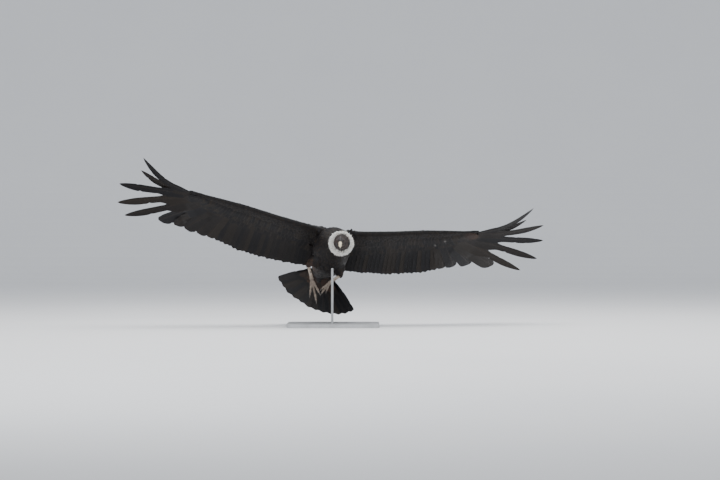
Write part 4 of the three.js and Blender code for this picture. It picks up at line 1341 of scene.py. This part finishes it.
class Paint(Nodes):
    """Builds one material round its Principled shader."""

    def __init__(self, name):
        self.material = bpy.data.materials.new(name)
        self.material.use_nodes = True
        super().__init__(self.material.node_tree)
        self.shader = self.tree.nodes["Principled BSDF"]

    def value(self, label):
        return self.add("ShaderNodeAttribute", attribute_name=label).outputs["Fac"]

    def uv(self, label):
        return self.add("ShaderNodeUVMap", uv_map=label).outputs["UV"]

    def place(self):
        return self.add("ShaderNodeTexCoord").outputs["Object"]

    def split(self, vector):
        return self.add("ShaderNodeSeparateXYZ", {0: vector}).outputs

    def speckle(self, vector, scale, detail=4.0):
        noise = self.add("ShaderNodeTexNoise", {"Vector": vector, "Scale": scale, "Detail": detail})
        return noise.outputs["Fac"]

    def blend(self, share, first, second):
        return self.add("ShaderNodeMix", {0: share, 6: first, 7: second}, data_type="RGBA").outputs[2]

    def ramp(self, source, low, high, start=0.0, end=1.0):
        limits = {"From Min": low, "From Max": high, "To Min": start, "To Max": end}
        node = self.add("ShaderNodeMapRange", {"Value": source, **limits}, interpolation_type="SMOOTHSTEP")
        return node.outputs["Result"]

    def group(self, tree, inputs):
        return self.add("ShaderNodeGroup", node_tree=tree, inputs=inputs).outputs

    def finish(self, colour, roughness, height=None, strength=0.3, distance=0.001, **plain):
        """Feeds the shader; plain values of its other sockets are given by name."""
        for label, source in (("Base Color", colour), ("Roughness", roughness)):
            self.feed(self.shader.inputs[label], source)
        for label, value in plain.items():
            self.shader.inputs[label.replace("_", " ")].default_value = value
        if height is not None:
            bump = self.add("ShaderNodeBump", {"Strength": strength, "Distance": distance, "Height": height})
            self.feed(self.shader.inputs["Normal"], bump.outputs["Normal"])
        return self.material


def barb_group():
    """Barbs of a vane: fine slanting lines on both sides of the shaft, and masks of shaft and rim."""
    nodes, given, result = group_tree(
        "ShaderNodeTree", "barbs of a vane", {"Vane": "Vector", "Barbs Along": "Float", "Slant": "Float"},
        {"Barbs": "Float", "Shaft": "Float", "Rim": "Float"})
    maths = nodes.maths
    across, along, _ = nodes.add("ShaderNodeSeparateXYZ", {0: given["Vane"]}).outputs
    off = maths("ABSOLUTE", maths("SUBTRACT", across, 0.5))
    slanted = maths("SUBTRACT", along, maths("MULTIPLY", off, given["Slant"]))
    phase = maths("MULTIPLY", maths("MULTIPLY", slanted, given["Barbs Along"]), 6.2832)
    wobble = nodes.add("ShaderNodeTexNoise", {"Scale": 9.0, "Vector": given["Vane"]})
    phase = maths("ADD", phase, maths("MULTIPLY", wobble.outputs["Fac"], 9.0))
    nodes.feed(result["Barbs"], maths("MULTIPLY_ADD", maths("SINE", phase), 0.5, 0.5))
    shaft = maths("SUBTRACT", 1.0, maths("MULTIPLY", off, 16.0))
    nodes.feed(result["Shaft"], maths("MAXIMUM", shaft, 0.0))
    rim = maths("MAXIMUM", maths("MULTIPLY", maths("SUBTRACT", off, 0.42), 12.0), 0.0)
    nodes.feed(result["Rim"], maths("MINIMUM", rim, 1.0))
    return nodes.tree


def grain_group():
    """Leathery skin grain: cells and fine noise as one height, with masks of creases and patches."""
    nodes, given, result = group_tree(
        "ShaderNodeTree", "grain of bare skin", {"Place": "Vector", "Cells": "Float"},
        {"Height": "Float", "Creases": "Float", "Patches": "Float"})
    place = given["Place"]
    cells = nodes.add("ShaderNodeTexVoronoi", feature="DISTANCE_TO_EDGE")
    nodes.feed(cells.inputs["Vector"], place)
    nodes.feed(cells.inputs["Scale"], given["Cells"])
    edge = nodes.add("ShaderNodeMapRange", {"From Max": 0.14, "Value": cells.outputs["Distance"]})
    fine = nodes.add("ShaderNodeTexNoise", {"Scale": 900.0, "Detail": 5.0, "Vector": place})
    height = nodes.maths("MULTIPLY_ADD", fine.outputs["Fac"], 0.4, edge.outputs["Result"])
    patches = nodes.add("ShaderNodeTexNoise", {"Scale": 34.0, "Detail": 4.0, "Vector": place})
    for label, source in (("Height", height), ("Creases", edge.outputs["Result"]),
                          ("Patches", patches.outputs["Fac"])):
        nodes.feed(result[label], source)
    return nodes.tree


def darker(tone, share):
    return tuple(part * share for part in tone)


def plumage(name, barbs, barbs_along, roughness):
    """Feather material: dark vane, browner worn rim, glossy shaft painted lighter as its own brown and a painted
    highlight, pale and rusty marks.
    """
    dark, worn = (0.0055, 0.0050, 0.0062), (0.015, 0.0112, 0.0088)
    silver_tone, rust_tone = (0.52, 0.51, 0.49), (0.085, 0.046, 0.031)
    paint = Paint(name)
    vane = paint.group(barbs, {"Vane": paint.uv("vane"), "Barbs Along": barbs_along, "Slant": 0.55})
    base = paint.blend(paint.ramp(paint.value("tint"), 0.2, 1.0), dark, worn)
    base = paint.blend(paint.maths("MULTIPLY", vane["Rim"], 0.45), base, worn)
    shaded = paint.blend(paint.maths("MULTIPLY", vane["Barbs"], 0.3), base, darker(dark, 0.45))
    rusty = paint.blend(paint.value("rust"), shaded, rust_tone)
    pale = paint.blend(paint.value("pale"), rusty, silver_tone)
    # The shaft is painted lighter: partly its own brown, partly a painted highlight along it.
    shaft_brown_and_highlight = paint.blend(paint.maths("MULTIPLY", vane["Shaft"], 0.5), pale, darker(worn, 2.2))
    gloss = paint.ramp(vane["Shaft"], 0, 1, roughness, roughness * 0.55)
    height = paint.maths("ADD", paint.maths("MULTIPLY", vane["Barbs"], 0.5), vane["Shaft"])
    return paint.finish(shaft_brown_and_highlight, gloss, height, 0.35, 0.0006, Specular_IOR_Level=0.15)


def down_material(barbs):
    """White collar down, creamy in places and greyer at its roots."""
    paint = Paint("collar_down")
    vane = paint.group(barbs, {"Vane": paint.uv("vane"), "Barbs Along": 18.0, "Slant": 0.9})
    along = paint.split(paint.uv("vane"))[1]
    base = paint.blend(paint.value("tint"), (0.86, 0.85, 0.82), (0.74, 0.71, 0.65))
    rooted = paint.blend(paint.ramp(along, 0.0, 0.45, 0.35, 0.0), base, (0.5, 0.48, 0.46))
    lined = paint.blend(paint.maths("MULTIPLY", vane["Barbs"], 0.18), rooted, (0.6, 0.58, 0.55))
    return paint.finish(lined, 0.82, vane["Barbs"], 0.3, 0.0005, Sheen_Weight=0.3, Subsurface_Weight=0.12)


def skin_material(grain):
    """Under-coat skin: black under the feathers, white at the collar, grey-brown on neck and head."""
    paint = Paint("bare_skin_and_under_coat")
    cells = paint.group(grain, {"Place": paint.place(), "Cells": 760.0})
    flesh = paint.blend(paint.ramp(cells["Patches"], 0.35, 0.65), (0.014, 0.012, 0.013), (0.038, 0.031, 0.030))
    creased = paint.blend(paint.ramp(cells["Creases"], 0, 1, 0.4, 0.0), flesh, (0.009, 0.007, 0.007))
    warm = paint.blend(paint.value("warm"), creased, (0.050, 0.032, 0.028))
    feathered = paint.blend(paint.value("coated"), warm, (0.004, 0.0036, 0.0042))
    collared = paint.blend(paint.value("collared"), feathered, (0.7, 0.68, 0.63))
    gloss = paint.ramp(cells["Patches"], 0.3, 0.7, 0.55, 0.75)
    return paint.finish(collared, gloss, cells["Height"], 0.35, 0.0007, Specular_IOR_Level=0.3)


def flesh_material(name, grain, low, high):
    """Lumpy flesh of comb and wattle, darker in its creases."""
    paint = Paint(name)
    cells = paint.group(grain, {"Place": paint.place(), "Cells": 640.0})
    flesh = paint.blend(paint.ramp(cells["Patches"], 0.35, 0.65), low, high)
    creased = paint.blend(paint.ramp(cells["Creases"], 0, 1, 0.35, 0.0), flesh, darker(low, 0.5))
    gloss = paint.ramp(cells["Patches"], 0.3, 0.7, 0.48, 0.7)
    return paint.finish(creased, gloss, cells["Height"], 0.4, 0.0007)


def horn_material(name, tip, base, split=None):
    """Horn with faint growth lines; the bill is dark up to its cere and ivory beyond."""
    paint = Paint(name)
    place = paint.place()
    grain = paint.speckle(place, 160.0, 6.0)
    fine = paint.speckle(place, 700.0, 3.0)
    colour = paint.blend(paint.ramp(grain, 0.35, 0.7), tip, base)
    if split:
        colour = paint.blend(paint.value("cere"), colour, split)
    height = paint.maths("ADD", grain, paint.maths("MULTIPLY", fine, 0.4))
    return paint.finish(colour, paint.ramp(grain, 0.3, 0.7, 0.3, 0.46), height, 0.18, 0.0006)


def eye_material():
    """Brown iris with rays, black pupil, clear wet coat."""
    paint = Paint("eye_ball")
    uv = paint.uv("iris")
    depth = paint.split(uv)[1]
    stretched = paint.add("ShaderNodeMapping", {"Vector": uv, "Scale": (14, 2, 1)}).outputs["Vector"]
    rays = paint.speckle(stretched, 5.0, 5.0)
    iris = paint.blend(paint.ramp(rays, 0.3, 0.7), (0.040, 0.016, 0.008), (0.10, 0.045, 0.022))
    ring = paint.blend(paint.ramp(depth, 0.2, 0.235), iris, (0.03, 0.015, 0.012))
    white = paint.blend(paint.ramp(depth, 0.235, 0.26), ring, (0.2, 0.14, 0.12))
    pupil = paint.blend(paint.ramp(depth, 0.115, 0.13), (0.002, 0.002, 0.002), white)
    return paint.finish(pupil, 0.3, Coat_Weight=0.55, Coat_Roughness=0.03, Specular_IOR_Level=0.2)


def scale_material(grain):
    """Pale dusty scutes of the legs, browner between them."""
    paint = Paint("leg_scales_skin")
    cells = paint.group(grain, {"Place": paint.place(), "Cells": 400.0})
    plates = paint.blend(paint.ramp(cells["Patches"], 0.35, 0.68), (0.50, 0.43, 0.35), (0.30, 0.24, 0.19))
    dusky = paint.blend(paint.value("dusk"), plates, (0.13, 0.10, 0.08))
    between = paint.blend(paint.ramp(cells["Creases"], 0, 1, 0.45, 0.0), dusky, (0.07, 0.052, 0.042))
    gloss = paint.ramp(cells["Patches"], 0.3, 0.7, 0.62, 0.78)
    return paint.finish(between, gloss, cells["Height"], 0.5, 0.001)


def stand_material(name, tone, scale):
    """Satin paint, a little cloudy."""
    paint = Paint(name)
    place = paint.place()
    cloudy = paint.speckle(place, scale, 6.0)
    fine = paint.speckle(place, 1400.0, 2.0)
    colour = paint.blend(paint.ramp(cloudy, 0.3, 0.75), tone, darker(tone, 0.82))
    return paint.finish(colour, paint.ramp(cloudy, 0.3, 0.7, 0.42, 0.55), fine, 0.12, 0.0003)


# Assembly


def skin_marks(skin):
    """Values on the skin that its material reads: coated, collared and warm places."""
    area = region(to_body(points_of(skin)))
    head = to_head(points_of(skin))
    near_head = (np.linalg.norm(head, axis=1) < 72).astype(float)
    bare = np.maximum(area["bare"], near_head)
    from_eye = np.hypot(head[:, 1] - EYE_PLACE[1], head[:, 2] - EYE_PLACE[2])
    warm = 0.55 * smooth(0.35, 0.7, rough(head, 0.035, 3) * 0.5 + 0.5) * bare
    warm = np.maximum(warm, 0.5 * (1 - smooth(9, 17, from_eye)) * near_head)
    mark(skin, "coated", 1 - bare)
    mark(skin, "collared", area["collar"] * (1 - bare))
    mark(skin, "warm", warm)


def bake_map(skin):
    """The skin's own unwrap, in the same windows as the coat's roots."""
    local = to_body(points_of(skin))
    place = map_places(local, region(local), normals_of(skin) @ BODY[:3, 2] > 0)
    layer = skin.data.uv_layers.new(name="OFBake")
    corners = np.empty(len(skin.data.loops), np.int32)
    skin.data.loops.foreach_get("vertex_index", corners)
    layer.data.foreach_set("uv", place[corners].astype(np.float32).ravel())


def settle(piece, material, slot_name, *nodes):
    """Gives a finished piece its material and body, and hides the nodes it stands for; its slot name is not used.
    """
    if material is not None:
        piece.data.materials.clear()
        piece.data.materials.append(material)
    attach(piece, "root")
    if nodes:
        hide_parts(*nodes)


def dress_plumage(skin, barbs):
    """All feather pieces."""
    quill_look = plumage("flight_feathers", barbs, 90.0, 0.42)
    covert_look = plumage("covert_feathers", barbs, 44.0, 0.5)
    coat_look = plumage("body_feathers", barbs, 16.0, 0.56)
    for sign, side in SIDES.items():
        settle(remiges(sign).piece(f"wing_{side}_flight_feathers"), quill_look, "plumage_dark", f"wing_{side}")
        settle(coverts(sign).piece(f"wing_{side}_coverts"), covert_look, "plumage_dark")
    settle(tail_feathers().piece("tail_feathers"), quill_look, "plumage_dark", "tail")
    tree = coat_tree()
    leaf = leaf_template("small_leaf")
    tuft = leaf_template("down_leaf", 6, 0.7, 0.3, 0.16)
    guides = body_coat_guides(skin)
    front, rear = COAT_PARTINGS
    on_body, behind = guides["wing"] < 0.5, guides["rear"]
    parts = {
        "body_coat_front": on_body & (behind < front),
        "body_coat_middle": on_body & (behind >= front) & (behind < rear),
        "body_coat_rear": on_body & (behind >= rear),
    }
    for sign, side in SIDES.items():
        mine = ~on_body & (guides["side"] == sign)
        parts[f"wing_{side}_small_coat_above"] = mine & guides["top"]
        parts[f"wing_{side}_small_coat_below"] = mine & ~guides["top"]
    for seed, (name, mask) in enumerate(parts.items(), 1):
        settle(grow_coat(name, tree, leaf, chosen(guides, mask), coat_look, seed), None, "plumage_dark")
    down = down_material(barbs)
    settle(grow_coat("ruff_down_rear", tree, tuft, ruff_guides(-22, 8), down, 40, 0.25),
           None, "plumage_white", "ruff")
    settle(grow_coat("ruff_down_front", tree, tuft, ruff_guides(4, 31), down, 41, 0.25), None, "plumage_white")
    bpy.data.objects.remove(leaf)
    bpy.data.objects.remove(tuft)


def dress_head(grain):
    """Bill, comb, wattle and eyes."""
    horn = horn_material("bill_horn", (0.72, 0.63, 0.46), (0.58, 0.49, 0.35), (0.045, 0.034, 0.032))
    for piece, node, cere_end in zip(build_bill(), ("bill_upper", "bill_lower"), CERE_END):
        local = to_head(points_of(piece))
        edge = cere_end + 2.5 * rough(local, 0.16, 3)
        mark(piece, "cere", 1 - smooth(edge - 2.5, edge + 2.5, -local[:, 1]))
        settle(piece, horn, "bill_ivory", node)
    comb_look = flesh_material("comb_flesh", grain, (0.020, 0.018, 0.019), (0.052, 0.045, 0.045))
    settle(build_comb(), comb_look, "bare_skin", "comb")
    wattle_look = flesh_material("wattle_flesh", grain, (0.026, 0.021, 0.020), (0.054, 0.040, 0.037))
    settle(build_wattle(), wattle_look, "bare_skin", "wattle")
    look = eye_material()
    for sign, side in SIDES.items():
        settle(build_eye(sign), look, "eye_gloss", f"eye_{side}")


def dress_legs(grain):
    scales = scale_material(grain)
    horn = horn_material("claw_horn", (0.05, 0.042, 0.038), (0.10, 0.085, 0.07))
    for sign, side in SIDES.items():
        settle(build_leg(sign), scales, "leg_scales", f"leg_{side}")
        for toe in TOES:
            settle(build_claw(sign, toe), horn, "claw_horn", f"claw_{side}_{toe[0]}")


def dress_stand():
    looks = {"stand_base": stand_material("stand_base_paint", (0.42, 0.43, 0.44), 14.0),
             "stand_rod": stand_material("stand_rod_paint", (0.36, 0.37, 0.38), 60.0)}
    for name, look in looks.items():
        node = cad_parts[name]
        node.data.materials.clear()
        node.data.materials.append(look)


def set_stage(near=-22.0, far=14.0, top=16.0, radius=6.0, half_width=26.0):
    """Pale floor that rises into a backdrop in one sweep."""
    turn = np.linspace(0, np.pi / 2, 24)
    profile = [(near, 0.0)] + [(far + radius * math.sin(t), radius - radius * math.cos(t)) for t in turn]
    profile.append((far + radius, top))
    points = [(x, y, z) for x in (-half_width, half_width) for y, z in profile]
    count = len(profile)
    faces = [(i, count + i, count + i + 1, i + 1) for i in range(count - 1)]
    mesh = bpy.data.meshes.new("studio_sweep")
    mesh.from_pydata(points, [], faces)
    sweep = linked(bpy.data.objects.new("studio_sweep", mesh))
    paint = Paint("studio_paper")
    cloudy = paint.speckle(paint.place(), 0.8, 2.0)
    mesh.materials.append(paint.finish(paint.blend(cloudy, (0.80, 0.81, 0.83), (0.84, 0.85, 0.86)), 0.9))


def add_light(name, place, target, size, power, tone=(1, 1, 1)):
    data = bpy.data.lights.new(name, "AREA")
    data.shape = "RECTANGLE"
    data.size, data.size_y = size
    data.energy = power
    data.color = tone
    lamp = linked(bpy.data.objects.new(name, data))
    lamp.location = place
    lamp.rotation_euler = (Vector(target) - Vector(place)).to_track_quat("-Z", "Y").to_euler()


def set_lights():
    world = bpy.data.worlds.new("studio")
    world.use_nodes = True
    world.node_tree.nodes["Background"].inputs["Color"].default_value = (0.92, 0.95, 1.0, 1)
    world.node_tree.nodes["Background"].inputs["Strength"].default_value = 0.8
    bpy.context.scene.world = world
    add_light("top_soft", (0.4, -0.4, 5.6), (0, 0, 0.6), (7.0, 5.0), 420, (1.0, 0.98, 0.95))
    add_light("front_fill", (-2.4, -7.0, 3.6), (0, 0, 0.7), (4.5, 3.0), 210, (0.96, 0.98, 1.0))
    add_light("side_fill", (5.0, -5.0, 3.0), (0, 0, 0.7), (3.0, 3.0), 120)


# Camera: one pixel is 7 mm at the bird, as read from the wing span, seen from 14 m away.
PIXEL = 7.0
CAMERA_DISTANCE = 14000
FRAME_WIDTH = 720
FRAME_HEIGHT = 480
BODY_PIXEL = (330.5, 248.5)


def set_camera():
    data = bpy.data.cameras.new("camera")
    data.sensor_width = 36
    data.lens = data.sensor_width * CAMERA_DISTANCE / (FRAME_WIDTH * PIXEL)
    data.clip_end = 100
    camera = linked(bpy.data.objects.new("camera", data))
    x = FLIGHT_POINT.x + (FRAME_WIDTH / 2 - BODY_PIXEL[0]) * PIXEL
    z = FLIGHT_POINT.z - (FRAME_HEIGHT / 2 - BODY_PIXEL[1]) * PIXEL
    camera.location = (x * MM, (FLIGHT_POINT.y - CAMERA_DISTANCE) * MM, z * MM)
    camera.rotation_euler = (math.pi / 2, 0, 0)
    bpy.context.scene.camera = camera


def build():
    barbs = barb_group()
    grain = grain_group()
    skin = build_skin()
    dress_plumage(skin, barbs)
    skin_marks(skin)
    bake_map(skin)
    settle(skin, skin_material(grain), "bare_skin", "torso", "neck", "head", "thigh_left", "thigh_right")
    dress_head(grain)
    dress_legs(grain)
    dress_stand()
    set_stage()
    set_lights()
    set_camera()


build()
